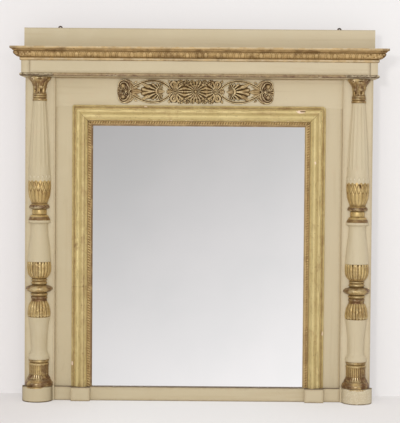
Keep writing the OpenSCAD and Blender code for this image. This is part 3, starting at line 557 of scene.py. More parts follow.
# Cornice, from the frieze outwards and up: (projection, height)
CORNICE = dense(
    curve([(0, 0), (3.4, 0.6), (4.8, 2.4), (5, 4.6)], 6) + [(5, 9.2), (2.4, 9.8), (2.4, 12.4)]
    + curve([(6.5, 12.4), (13.5, 14.4), (20.5, 19.4), (26, 26), (27.4, 30.8)], 16)
    + [(24.4, 31.6), (24.4, 34.6), (28.8, 35.0), (29.4, 37.4)]
    + curve([(29.4, 37.4), (31.5, 40), (35, 41.6)], 5) + [(38, 42.2), (38, 48.6), (37.2, 49.8), (30, 50)], 1.3)
CORNICE_OUT, EGG_END = 38.0, 614.0      # how far the cornice stands out, and where the eggs turn into leaves
CORNICE_LENGTH = np.r_[0, np.cumsum(np.linalg.norm(np.diff(CORNICE, axis=0), axis=1))]
EGG_LOW = CORNICE_LENGTH[np.argmin(np.linalg.norm(CORNICE - np.array((6.5, 12.4)), axis=1))]
EGG_HIGH = CORNICE_LENGTH[np.argmin(np.linalg.norm(CORNICE - np.array((27.4, 30.8)), axis=1))]


def egg_row(pitch, seed):
    middle, half = (EGG_LOW + EGG_HIGH) / 2, (EGG_HIGH - EGG_LOW) / 2

    def extra(s, k):
        number = np.round(s / pitch)
        x = (s - number * pitch) / (pitch / 2)
        y = (k - middle) / half
        worn = 0.62 + 0.38 * np.sin(number * 2.399 + seed) * np.cos(number * 0.31 + seed)
        r = np.sqrt((x / 0.72) ** 2 + ((y - 0.1) / (0.9 - 0.2 * x * x)) ** 2)
        egg = 3.4 * worn * unit(1 - r * r) ** 0.6
        rim = 1.0 * hump(r - 1.26, 0.12) * (np.abs(y) < 1.05)
        dart = 1.5 * hump(1 - np.abs(x), 0.1) * smoothstep(0.9, -0.7, y)
        inside = smoothstep(1.12, 0.98, np.abs(y))
        nicks = unit(waves(s, 9, 8, seed) - 0.72) * 5.0
        edge = np.abs(s) > EGG_END if np.abs(s).max() > 300 else s < -1
        leaf = np.sqrt(unit(1 - (y - 0.1) ** 2)) * (
            1.6 + 0.7 * np.cos(s * 0.42 + 2.6 * np.abs(y)) * np.cos(s * 0.13) + 1.2 * waves(s, 4, 12, seed + 2))
        form = np.where(edge, leaf, np.maximum(np.maximum(egg, rim), dart))
        return (form - 1.5) * inside - nicks * 0.6 + 0.25 * waves(s, 30, 5, seed + 1)
    return extra


def cornice_bole(seed):
    def brown(s, k):
        patch = smoothstep(0.1, 0.8, waves(s, 34, 2, seed))
        fine = smoothstep(0.25, 0.8, waves(s, 12, 5, seed + 50))
        ends = smoothstep(655, 692, np.abs(s)) + 0.42 * smoothstep(-605, -645, s) * between(k, EGG_LOW, EGG_HIGH, 3)
        lines = (0.6 * between(k - EGG_HIGH, 8, 14, 2) + 0.95 * smoothstep(7, 3.5, k)
                 + 0.05 * between(k, EGG_LOW, EGG_HIGH, 2))
        lines = lines + 0.27 * between(k - EGG_HIGH, -6, 5, 2.5) + 0.2 * between(k - EGG_HIGH, 16, 27, 2)
        return unit(0.6 * patch + 0.3 * fine + 1.1 * ends + lines)
    return brown


def cornice_gilt(s, k):
    """Worn towards the ground along the top edge and, here and there, on the lower bead."""
    wear = waves(s, 12, 9, 58)
    top = (0.27 * smoothstep(EGG_HIGH + 17, EGG_HIGH + 25, k)
           + smoothstep(EGG_HIGH + 26, EGG_HIGH + 29, k) * smoothstep(-0.6, 0.3, wear) * 0.34)
    low = between(k, 6.5, 11.0, 2.0) * (0.4 + 0.2 * smoothstep(-0.3, 0.6, wear))
    return unit(1 - top - low)


def mitred_front(out, up, s):
    out = np.minimum(out, CORNICE_OUT)
    reach = X_FRIEZE + out
    return np.clip(s, -reach, reach), BACK - D_FRIEZE - out, Z_CORNICE + up, smoothstep(2.5, 0.0, reach - np.abs(s))


def mitred_side(sign):
    def place(out, up, s):
        out = np.minimum(out, CORNICE_OUT)
        reach = D_FRIEZE + out
        return sign * (X_FRIEZE + out), BACK - np.clip(s, 0, reach), Z_CORNICE + up, smoothstep(2.5, 0.0, reach - s)
    return place


piece(moulding("cornice_front_carved", CORNICE, np.arange(-700.0, 700.6, 1.15), mitred_front, egg_row(22.7, 3),
               (3, 0.7), cornice_bole(5), gilt=cornice_gilt), GILT_CORNICE, "gilt", "cornice_front")
for sign, side in ((-1, "left"), (1, "right")):
    piece(moulding("cornice_return_%s_carved" % side, CORNICE, np.arange(0.0, 143.6, 1.1), mitred_side(sign),
                   egg_row(22.0, 11), (3, 0.7), cornice_bole(9), flip=sign > 0, gilt=cornice_gilt),
          GILT_CORNICE, "gilt", "cornice_return_" + side)

# Half-round edge of the soffit: gilt between the columns, cream over them
BEAD_R = 6.0
BEAD = [(BEAD_R * math.sin(a), BEAD_R * (1 - math.cos(a))) for a in np.linspace(0, math.pi, 15)]


def bead_front(out, up, s):
    out = np.clip(out, 0, BEAD_R)
    reach = X_FRIEZE + out
    # worn: painted shade, darker towards the bottom of the bead over the columns where the capitals lie in shade, with
    # mottled wear
    worn = 0.3 + 0.34 * smoothstep(8.0, 3.0, up) + 0.4 * smoothstep(-0.4, 0.6, waves(s, 3, 8, 59))
    return np.clip(s, -reach, reach), BACK - D_FRIEZE - out, Z_SOFFIT + up, worn * smoothstep(535, 548, np.abs(s))


def bead_wear(s, k):
    wave = waves(s, 5, 9, 61)
    return unit(0.2 + 0.9 * smoothstep(0.1, 0.7, wave) * (np.abs(s) > 541) + 0.7 * smoothstep(12, 8, k)
                * (np.abs(s) < 545) + 0.3 * smoothstep(0.2, 0.7, waves(s, 18, 3, 62)))


def bead_gilt(s, k):
    rubbed = smoothstep(0.35, 0.8, waves(s, 14, 5, 63))
    inner = smoothstep(545, 541, np.abs(s)) * (1 - 0.45 * rubbed) * (1 - 0.5 * smoothstep(13, 16, k))
    edge = 0.8 * smoothstep(-0.1, 0.5, waves(s, 4, 12, 64)) * (smoothstep(12, 17, k) + smoothstep(3.5, 1, k))
    return unit(np.maximum(inner, edge))


piece(moulding("astragal_front_worn", BEAD, np.arange(-668.0, 668.1, 2.0), bead_front,
               lambda s, k: -0.35 * unit(waves(s, 3, 8, 60) - 0.3), (2, 2.5), bead_wear, gilt=bead_gilt),
      GILT_BAND, "cream_paint", "astragal_front")

# Gilt frame: (in from the outer edge, above the field)
FRAME = dense(
    [(0, 0), (0, 5)] + curve([(0, 5), (2.6, 7.4), (5.6, 9.4), (8, 13), (10.4, 13.4), (12.2, 11.2)], 12)
    + [(12.8, 9.2), (14.4, 9.2), (15, 13.2)] + curve([(15, 13.2), (17, 15.6), (21.5, 16.6)], 5)
    + curve([(21.5, 16.6), (25.5, 17.0), (29.5, 19.6), (33.5, 24.6), (37.5, 28), (41.5, 29), (45.5, 28.2), (50, 24.2),
             (54, 19.4)], 24) + [(55.2, 17.2), (55.8, 19.4), (58.7, 19.4), (59, 16), (59, 1)], 1.6)
ROPE = dense([(0, 0), (0, 2.2)] + curve([(0, 2.2), (1.5, 5.5), (4.5, 8.6), (8, 9.6), (11.5, 8.4), (13.2, 6)], 14)
             + curve([(13.8, 5.2), (15.4, 7.0), (17.4, 10.5), (18.8, 12.8)], 6) + [(19, 12.9)], 0.9)


def oval(s, k, spot):
    """Distance from the middle of a spot (along, across, half length, half width), 1 on its rim."""
    return np.hypot((s - spot[0]) / spot[2], (k - spot[1]) / spot[3])


def dents(seed, hole=None):
    """Small dents, and one deeper hole."""
    def extra(s, k):
        nick = unit(waves(s, 4, 14, seed) - 0.78) * 2.25
        pit = 1.8 * smoothstep(1.2, 0.5, oval(s, k, hole)) if hole else 0.0
        return 0.175 * waves(s, 22, 4, seed + 1) - nick - pit
    return extra


def frame_bole(seed, *lines, spot=None):
    """Brown ground on a frame moulding, with darker lines (place across it, half width, strength) that paint shade
    in a hollow and on a slope turned from the light, and one worn spot."""
    def brown(s, k):
        patch = 0.5 * smoothstep(0.35, 0.85, waves(s, 26, 9, seed)) + 0.6 * smoothstep(
            0.5, 0.9, waves(s, 5, 30, seed + 7))
        if spot:
            patch = np.maximum(patch, 1.6 * smoothstep(1.2, 0.4, oval(s, k, spot)))
        hollow = sum(part * hump(k - at, wide) for at, wide, part in lines or ((43.0, 4.0, 0.25),))
        edge = 0.6 * between(k, 12.0, 22.0, 3.0) * (0.8 + 0.2 * waves(s, 9, 6, seed + 3))
        return unit(0.5 * patch + hollow + edge)
    return brown


FRAME_LENGTH = np.r_[0, np.cumsum(np.linalg.norm(np.diff(FRAME, axis=0), axis=1))]
FILLET = FRAME_LENGTH[np.argmin(np.linalg.norm(FRAME - np.array((57.2, 19.4)), axis=1))]


def losses(*spots, line=0.0, hole=None):
    """Bare gesso where gilding has flaked off, in spots and along the fillet."""
    def chip(s, k):
        rag = waves(s, 3, 24, 81)
        out = line * (1 + 0.2 * rag) * hump(k - FILLET, 3.4)
        for spot in spots:
            out = np.maximum(out, smoothstep(1.15, 0.8, oval(s, k, spot) + 0.35 * rag))
        if hole:
            out = out * smoothstep(0.6, 1.0, oval(s, k, hole))
        return out
    return chip


def rope_twist(pitch, seed):
    def extra(s, k):
        on = smoothstep(1.5, 4.0, k) * smoothstep(18.5, 16.0, k)
        wave = (s + (k - 9) * 0.3) / pitch + 0.08 * waves(s, 60, 2, seed)
        lobe = np.sqrt(unit(1 - (2 * (wave - np.round(wave))) ** 2))
        worn = 0.8 + 0.45 * waves(s, 18, 2, seed + 3)
        return on * worn * (2.6 * lobe - 1.7)
    return extra


def rope_bole(inside, worn=0.25):
    return lambda s, k: inside * smoothstep(15.5, 20.0, k) + worn * smoothstep(0.2, 0.9, waves(s, 50, 3, 40))


def round_corner(out, along, edge, radius):
    """Where a line that lies out inside the edge goes round a corner of this radius, up to the mitre: along it and
    in from the other edge."""
    bend = np.maximum(radius - out, 1e-6)
    turn = np.clip((along - edge + radius) / bend, 0, 1) * math.pi / 4
    on = (out < radius) & (turn > 0)
    return np.where(on, edge - radius + bend * np.sin(turn), along), np.where(on, radius - bend * np.cos(turn), out)


def top_rail(edge_x, edge_z, d0, radii=(0.0, 0.0)):
    """Across the top: a section point lies out inside the outer edge, mitred at both ends."""
    def place(out, up, s):
        reach = edge_x - out
        seam = 0.5 * smoothstep(2.0, 0.0, reach - np.abs(s)) * smoothstep(0, 30, out)
        x, inset = round_corner(out, np.minimum(np.abs(s), reach), edge_x, np.where(s < 0, *radii))
        return np.sign(s) * x, BACK - d0 - up, edge_z - inset, seam
    return place


def side_rail(sign, edge_x, edge_z, d0, cracks=(), radius=0.0):
    def place(out, up, s):
        reach = edge_z - out
        seam = 0.5 * smoothstep(2.0, 0.0, reach - s) * smoothstep(0, 30, out)
        for z, lean in cracks:
            seam = np.maximum(seam, 0.4 * hump(s - z - lean * out, 1.3))
        z, inset = round_corner(out, np.clip(s, Z_BASE, reach), edge_z, radius)
        return sign * (edge_x - inset), BACK - d0 - up, z, seam
    return place


def inner(section):
    """The rope's section counts from the glass outwards, so it is turned round for the outer edge."""
    return np.stack([ROPE_W - section[:, 0], section[:, 1]], 1)[::-1]


TORN = (389, 35.8, 13, 3.4)   # the hole in the top rail's chip
CORNERS = (8.0, 14.0)       # radii of the frame's outer corners, left and right
piece(moulding("frame_rail_top_gilt", FRAME, np.arange(-X_FRAME, X_FRAME + 0.1, 2.0),
               top_rail(X_FRAME, Z_FRAME, D_FIELD, CORNERS),
               dents(21, hole=TORN), (2, 0.8), frame_bole(31, spot=TORN),
               chip=losses((383, 35, 17, 7.5), (-200, 12, 7, 3), line=0.43, hole=TORN)),
      GILT_FRAME, "gilt", "frame_rail_top")
piece(moulding("rope_top_carved", inner(ROPE), np.arange(-X_ROPE, X_ROPE + 0.1, 0.9),
               top_rail(X_ROPE, Z_ROPE, D_FIELD), rope_twist(9.6, 51), (4, 0.8), rope_bole(0.8, 0.1)),
      GILT_ROPE, "worn_gilt", "rope_top")
for sign, side in ((-1, "left"), (1, "right")):
    cracks = ((430.0, 0.05),) if sign < 0 else ()
    marks = ((140, 10, 9, 4),) if sign < 0 else ((260, 12, 8, 4), (905, 60, 5, 3))
    # the left stile's lines at 61 and 69 paint shade on its inner slope, which turns away from the light
    piece(moulding("frame_stile_%s_gilt" % side, FRAME, np.arange(Z_BASE, Z_FRAME + 0.1, 2.0),
                   side_rail(sign, X_FRAME, Z_FRAME, D_FIELD, cracks, CORNERS[sign > 0]), dents(23 + sign), (2, 0.8),
                   frame_bole(32, (61.0, 5.0, 0.3), (69.0, 2.6, 0.6),
                              spot=(584, 31, 17, 13)) if sign < 0 else frame_bole(34),
                   flip=sign < 0, chip=losses(*marks)), GILT_FRAME, "gilt", "frame_stile_" + side)
    piece(moulding("rope_%s_carved" % side, inner(ROPE), np.arange(Z_BASE, Z_ROPE + 0.1, 0.9),
                   side_rail(sign, X_ROPE, Z_ROPE, D_FIELD), rope_twist(9.6, 53 + sign),
                   (4, 0.8 if sign < 0 else 0.66), rope_bole(*((1.0, 0.34) if sign < 0 else (0.0, 0.0))),
                   flip=sign < 0), GILT_ROPE, "worn_gilt", "rope_" + side)

dress(COVE, "soffit_cove")


# ---------------------------------------------------------------- half columns

def lobes(theta, count, shift=0.0):
    """Place across a lobe, -1 to 1, for count lobes in the half turn."""
    t = theta / math.pi * count + shift
    return 2 * (t - np.floor(t)) - 1


def uneven(theta, edges):
    """Place across a lobe, -1 to 1, and the lobe's number, for lobes between the given angles in degrees."""
    deg, edges = np.degrees(theta), np.array(edges, float)
    i = np.clip(np.searchsorted(edges, deg, "right") - 1, 0, len(edges) - 2)
    return 2 * (deg - edges[i]) / (edges[i + 1] - edges[i]) - 1, i


def round_top(u, width=1.0):
    return np.sqrt(unit(1 - (u / width) ** 2))


def rows_for(height, step, table):
    """Heights of the rings: even steps plus every corner of the profile."""
    z = np.r_[np.arange(0, height, step), height]
    z = np.r_[z, [r[0] for r in table]]
    return np.unique(np.round(np.clip(z, 0, height), 3))


def turning(name, side, z0, height, table, step, carve, material, around):
    """Half of a turned and carved piece. carve(z, theta, r) gives radius, gilt and bole, and may give chip, where some
    carvings put painted highlights.
    """
    z = rows_for(height, step, table)
    theta = np.linspace(0, math.pi, around + 1)
    zz, tt = np.meshgrid(z, theta, indexing="ij")
    base = np.repeat(pchip(table, z)[:, None], around + 1, 1)
    radius, gilt, bole, *chip = carve(zz, tt, base)
    cavity, ridge = relief_marks(radius - base, 4, 0.56)
    # creases between rings take painted shade as cavity, and rings painted highlight as ridge, brightest a little left
    # of the front where the light falls
    groove = base[:, 0] - blur(base, max(1, round(4.6 / step)))[:, 0]
    cavity = unit(cavity + np.clip(-groove * 0.42, 0, 0.95)[:, None]) * (0.3 + 0.7 * gilt)
    ridge = unit(ridge * 0.55 + np.clip(groove * 0.34, 0, 0.9)[:, None] * (0.25 + 0.75 * hump(tt - 1.35, 0.55)))
    x = -radius * np.cos(tt)
    y = -radius * np.sin(tt)
    y[:, 0] = y[:, -1] = 0.0
    rows, cols = zz.shape
    sign = 1 if side == "right" else -1
    front = np.stack([(x + sign * X_COLUMN).ravel(), (y + BACK - D_CASE).ravel(), (zz + z0).ravel()], 1)
    axis = np.stack([np.full(rows, sign * X_COLUMN), np.full(rows, BACK - D_CASE), z + z0], 1)
    points = np.concatenate([front, axis])
    faces = grid_faces(rows, cols).tolist()
    a = rows * cols
    for i in range(rows - 1):
        faces.append([a + i, i * cols, (i + 1) * cols, a + i + 1])
        faces.append([a + i + 1, (i + 1) * cols + cols - 1, i * cols + cols - 1, a + i])
    for j in range(cols - 1):
        faces.append([a, j + 1, j])
        faces.append([a + rows - 1, (rows - 1) * cols + j, (rows - 1) * cols + j + 1])
    pad = np.zeros(rows)
    data = {k: np.r_[np.asarray(v).ravel(), pad] for k, v in
            (("cavity", cavity), ("ridge", ridge), ("bole", bole), ("gilt", gilt),
             ("chip", chip[0] if chip else 0 * bole))}
    return piece(build("%s_%s_carved" % (name, side), points, faces, **data), material,
                 "cream_paint" if name in ("shaft", "vase", "lower_vase") else "gilt", name + "_" + side)


def flat(z):
    return np.zeros_like(z)


CAPITAL = [(0, 25.4), (0.9, 26.9), (4, 27.4), (7.6, 27.0), (9.4, 25.0), (11.6, 24.6), (13, 26.2), (15.4, 27.2),
           (17.4, 26.4), (18.8, 24.6), (20.4, 25.2), (22.6, 26.9), (25.2, 26.2), (27, 24.2), (30, 23.8), (42, 24.2),
           (54, 25.5), (62, 27.4), (69, 30.8), (75, 35.2), (80, 39.6), (84, 42.4), (87.4, 42.8), (90, 40.4)]


def carve_capital(z, t, r):
    w, p = lobes(t, 3, 0.25), lobes(t, 3, 0.75)
    on, flare = smoothstep(26.5, 29, z), smoothstep(56, 84, z)
    stalk = on * (2.4 - 0.6 * flare) * hump(w, 0.15 + 0.3 * flare)
    low = 2.2 * between(z, 29, 33, 3) * round_top(p, 0.7) + 1.6 * between(z, 46, 52, 4) * round_top(p, 0.6)
    hole = 4.4 * np.exp(-(np.abs(z - 37 + 8 * p * p) / 8.5) ** 3) * np.exp(-(np.abs(p - 0.1) / 0.3) ** 4)
    upper = smoothstep(44, 54, z) * (1.8 * round_top(p, 0.82) + 0.35 * np.cos(p * 9 - z * 0.16) * (1 - 0.6 * flare))
    tips = 1.8 * smoothstep(72, 85, z) * np.cos(t * 7 + 0.8) + 1.8 * smoothstep(70, 82, z) * wobble(z, (16, 12), 70)
    rough = 0.3 * on * wobble(z, (22, 26), 69)
    radius = r - 1.4 * on + stalk + low - hole + upper - 1.6 * np.clip(tips, 0, 9) * on + rough
    deg = np.degrees(t)
    shade = smoothstep(112, 124, deg) * smoothstep(56, 76, z)
    bole = 0.5 * on * round_top(p) + 0.5 * shade + 0.3 + 0.3 * wobble(z, (12, 9), 68) + 0.3 * (1 - on)
    lit = (smoothstep(72, 80, z + 6 * np.cos(t * 7 + 0.8)) * hump(deg - 58, 26)
           + hump(z - 24, 2.5) * hump(deg - 88, 14))
    return np.minimum(radius, 44.5), flat(z) + 1, unit(bole), 0.62 * lit * (0.8 + 0.4 * wobble(z, (40, 60), 57))


SHAFT = [(0, 29.6), (3, 30.4), (10, 33.0), (18, 36.2), (28, 39.2), (40, 41.2), (52, 42.1), (66, 42.3), (84, 42.0),
         (96, 41.5)] + [(96 + 288 * i / 12, 41.5 - 16.5 * (i / 12) ** 1.45) for i in range(1, 13)]


def carve_shaft(z, t, r):
    u, v, a, b = lobes(t, 8), lobes(t, 8, 0.5), lobes(t, 4), lobes(t, 4, 0.5)
    top = 84 + 2.5 * np.cos(u * math.pi)
    cup = smoothstep(1.0, -1.0, z - top)
    # interlaced arches: two crossing families of lines under the edge, and ribs below them
    lean = unit((z - 38) / 46)
    line = np.minimum(np.abs(np.abs(a) - (1 - lean)), np.abs(np.abs(b) - (1 - lean)))
    arch = between(z, 48, 77, 6) * hump(line, 0.1)
    rib = smoothstep(2, 8, z) * smoothstep(58, 44, z)
    form = cup * (0.8 - 1.3 * arch - 3.2 * rib * (1 - round_top(u, 1.02)) + 1.0 * rib * hump(v, 0.16))
    tip = 90 + 16 * (1 - np.abs(v)) ** 0.7
    tongue = (1 - cup) * smoothstep(1.2, -1.2, z - tip) * (
        1.2 * round_top(v, 0.98) + 0.5 * hump(v, 0.15) + 0.6 * (z > tip - 9) - 0.2 * (np.abs(v) > 0.9))
    start, end = smoothstep(116, 152, z - 5 * (1 - v * v)), smoothstep(384, 366, z + 4 * v * v)
    flute = (2.3 - 1.0 * (z - 100) / 284) * start * end * round_top(v, 0.84)
    bole = 0.3 * cup * arch + 0.55 * smoothstep(9, 0, z) + 0.35 * rib * smoothstep(0.4, 1, np.abs(u))
    # painted highlights on the tips of the tongues, laid on as chip
    tip_highlight = 0.62 * hump(z - tip + 6, 6) * hump(v, 0.3) * (1 - cup)
    return r + form * smoothstep(0, 10, z) + tongue - flute + 0.15 * wobble(z, (26, 16), 71), cup, bole, tip_highlight


def carve_shaft_right(z, t, r):
    """The right shaft has a dark knot among its leaf tips."""
    radius, gilt, bole, tip_highlight = carve_shaft(z, t, r)
    knot = np.exp(-((np.degrees(t) - 97 + 0.3 * (z - 74)) / 5) ** 2 - ((z - 74) / 7.5) ** 2)
    return radius - 3.4 * knot, gilt, unit(bole + 1.2 * knot), tip_highlight


VASE = [(0, 43.4), (2, 43.7), (6, 43.6), (24, 42.6), (43, 41), (61, 39.1), (80, 36.8), (98, 34.4), (117, 32.5),
        (131, 31.6), (140, 31.7), (144, 33.0), (146.4, 36.4), (147.4, 41.4), (148.6, 42.7), (151, 43.0),
        (154.4, 42.9), (155.6, 41.6), (160, 40.0), (165, 38.4), (166.6, 37.0), (169.6, 35.4), (173, 33.2),
        (175.6, 30.2), (177.2, 27.4), (178.8, 26.6), (181, 27.2), (186.5, 27.6), (192, 27.4), (195.6, 26.8),
        (197.4, 26.2), (198.8, 27.6), (200, 33.0), (202, 37.4), (204.6, 38.5), (208.6, 37.8), (212.4, 35.4),
        (215.2, 32.8), (217, 30.2), (218.6, 29.6), (220, 30.2)]


def carve_vase(z, t, r):
    gilt = smoothstep(155.4, 156.6, z)
    torus = between(z, 201, 213, 2.5)
    bumps = 1.0 * torus * np.cos(t * 16 + z * 0.5) * wobble(z, (40, 12), 74)
    bole = (1.0 * torus + 0.85 * between(z, 156, 168, 2) + 0.6 * between(z, 198, 199.4, 1)
            + 0.5 * smoothstep(215, 218, z))
    return r + bumps + 0.14 * wobble(z, (18, 14), 75), gilt, unit(bole)


CUP = [(0, 27.0), (1.6, 28.6), (4, 31.2), (8, 34.6), (13, 38.2), (19, 41.2), (26, 43.3), (34, 44.6), (43, 45.2),
       (52, 45.2), (58, 44.9), (61.5, 44.3), (63.2, 43.2), (64, 42)]
CUP_RIBS = (0, 17, 32, 47, 61, 91, 108, 124, 142, 161, 180)


def carve_cup(z, t, r):
    u, i = uneven(t, CUP_RIBS)
    on = smoothstep(1, 6, z)
    wide = (i == 4)
    lobe = 2.6 * on * (1 - round_top(u, 1.01)) * np.where(wide, 0.7, 1.0)
    vein = np.where(wide, -0.9, 0.9) * hump(u, 0.2) * smoothstep(60, 40, z) * smoothstep(4, 16, z)
    notch = 2.6 * smoothstep(56, 63, z + 3 * np.abs(u)) * smoothstep(0.35, 0.9, np.abs(u))
    rough = 0.35 * wobble(z, (12, 60), 68)
    bole = 0.4 * smoothstep(0.6, 1, np.abs(u)) * on + 0.6 * smoothstep(6, 0, z) + 0.35 * wide * between(z, 14, 60, 6)
    return r - lobe + vein * on - notch + rough * on, flat(z) + 1, unit(bole)


KNOP = [(0, 28.8), (2, 29.2), (5.6, 30.9), (8.6, 31.3), (11, 30.2), (12.8, 28.2), (14.6, 28.6), (17, 31.2),
        (20.6, 32.1), (23.6, 31.0), (25.6, 28.8), (27, 29.6), (28.6, 34.8), (31, 40.6), (34.5, 45.8), (38, 49.4),
        (41.4, 50.9), (45, 49.8), (48.4, 46.4), (51, 41.4), (53, 35.2), (54.8, 28.0), (56.8, 26.8), (58.4, 27.6),
        (60.4, 29.4), (62.8, 29.9), (65.6, 29.2), (67.8, 27.2), (69.8, 26.4), (71.2, 27.2), (72.8, 29.3),
        (74.6, 29.9), (76.2, 29.2), (77.6, 27.2), (79, 26.6)]


def carve_knop(z, t, r):
    wing = smoothstep(0.55, 0.9, np.abs(np.cos(t)))
    bole = 0.36 + 0.8 * wing * between(z, 31, 50, 3) + 0.6 * smoothstep(14, 11, z) + 0.3 * between(z, 46, 52, 3)
    return r + 0.5 * wobble(z, (24, 22), 67) * between(z, 30, 52, 3), flat(z) + 1, unit(bole)


BELL = [(0, 42.4), (1.4, 43.4), (6, 43.8), (14, 43.7), (24, 42.9), (34, 41.2), (42, 38.9), (48, 36.4), (54, 33.4),
        (58, 31.4), (62, 29.9), (66, 28.9)]
BELL_RIBS = (0, 22, 44, 62, 80, 99, 117, 138, 159, 180)


def carve_bell(z, t, r):
    u, i = uneven(t, BELL_RIBS)
    on = smoothstep(64, 58, z)
    leaf = 3.6 * on * (1 - round_top(u, 1.01)) * (0.6 + 0.4 * smoothstep(60, 40, z))
    split = (1.8 * hump(u, 0.16) * smoothstep(34, 18, z + 6 * (i % 2))
             - 0.9 * hump(u, 0.2) * between(z, 40, 56, 5))
    scallop = 2.8 * smoothstep(5, 0.5, z - 3.2 * np.abs(u))
    rough = 0.4 * wobble(z, (14, 50), 66)
    bole = 0.14 + 0.25 * smoothstep(0.6, 1, np.abs(u)) + 0.9 * smoothstep(58, 62, z)
    return r - leaf - split - scallop + rough * on, flat(z) + 1, unit(bole)


LOWER = [(0, 38.2), (1, 39.5), (3, 40.2), (8, 40.3), (11, 39.8), (14, 39.0), (17, 37.6), (20, 35.6), (24, 33.2),
         (29, 31.6), (36, 30.8), (44, 30.6), (62, 30.8), (82, 31.6), (102, 33.2), (120, 35.1), (138, 37.6),
         (154, 39.8), (158, 40.3), (160, 40.2)]


def carve_lower(z, t, r):
    return r + 0.14 * wobble(z, (16, 14), 77), flat(z), 0.3 * smoothstep(4, 0, z)


FOOT = [(0, 51.0), (1.5, 52.3), (4, 52.6), (9, 52.6), (12.4, 52.0), (15, 50.6), (17.6, 48.6), (20, 47.8), (22, 45.6),
        (24.6, 44.8), (26.4, 45.8), (29, 45.2), (33, 42.6), (37, 40.2), (41.8, 38.2), (45, 37.2), (52, 36.7),
        (66, 36.7), (78, 37.2), (83, 37.9), (86, 36.4), (88, 34.8), (90, 35.2), (92.6, 37.3), (96, 37.9),
        (98.6, 36.8), (100, 35.4)]


def carve_foot(z, t, r):
    u, v = lobes(t, 14), lobes(t, 14, 0.5)
    wall = smoothstep(44, 47, z) * smoothstep(86, 80, z + 4 * u * u)
    reed = 1.7 * wall * (1 - round_top(u, 1.02))
    arch = 1.3 * hump(z - 84 + 4 * u * u, 1.6)
    middle = hump(np.degrees(t) - 84, 24)
    tooth = (between(z, 28, 42, 3) * smoothstep(0.9, 0.3, np.abs(u) + smoothstep(40, 26, z) * 0.6)
             * (0.25 + 0.75 * middle))
    teeth = 2.6 * tooth - 1.9 * between(z, 27, 43, 3)
    # bole: the brown ground in the grooves and low down, and painted shade on the flanks and the right side
    bole = (0.3 + 0.45 * smoothstep(16, 11, z) + 0.75 * (1 - middle) * smoothstep(50, 38, z)
            + 0.4 * wall * smoothstep(0.3, 1, np.abs(u)) + 0.35 * wall * smoothstep(95, 120, np.degrees(t))
            + 0.3 * between(z, 92, 98, 2))
    lit = (tooth * smoothstep(0.3, 0.9, middle) * 1.1
           + hump(z - 10, 3.0) * middle * (0.5 + 0.5 * wobble(z, (20, 30), 56)))
    return r - reed + arch * 0.6 + teeth + 0.5 * wobble(z, (22, 30), 65), flat(z) + 1, unit(bole), 0.7 * lit


# The pieces of a column, from the soffit down: name, foot, height, profile, ring spacing, carving, finish and
# steps round
COLUMN_PARTS = (
    ("capital", 1130, 90, CAPITAL, 1.1, carve_capital, GILT_COLUMN, 168),
    ("shaft", 746, 384, SHAFT, 2.0, carve_shaft, GILT_OR_CREAM, 192),
    ("vase", 526, 220, VASE, 1.6, carve_vase, GILT_OR_CREAM, 96),
    ("cup", 462, 64, CUP, 1.2, carve_cup, GILT_COLUMN, 168),
    ("knop", 383, 79, KNOP, 1.2, carve_knop, GILT_COLUMN, 120),
    ("bell", 317, 66, BELL, 1.2, carve_bell, GILT_COLUMN, 168),
    ("lower_vase", 157, 160, LOWER, 3.0, carve_lower, GILT_OR_CREAM, 96),
    ("foot", 57, 100, FOOT, 1.2, carve_foot, GILT_COLUMN, 182))
for side in ("left", "right"):
    for name, foot, height, table, step, carve, finish, around in COLUMN_PARTS:
        if (name, side) == ("shaft", "right"):
            carve = carve_shaft_right
        turning(name, side, foot, height, table, step, carve, finish, around)


PLINTH_R, PLINTH_H, PLATE = 57.5, 57.0, 5.0      # the half round and the plate behind it


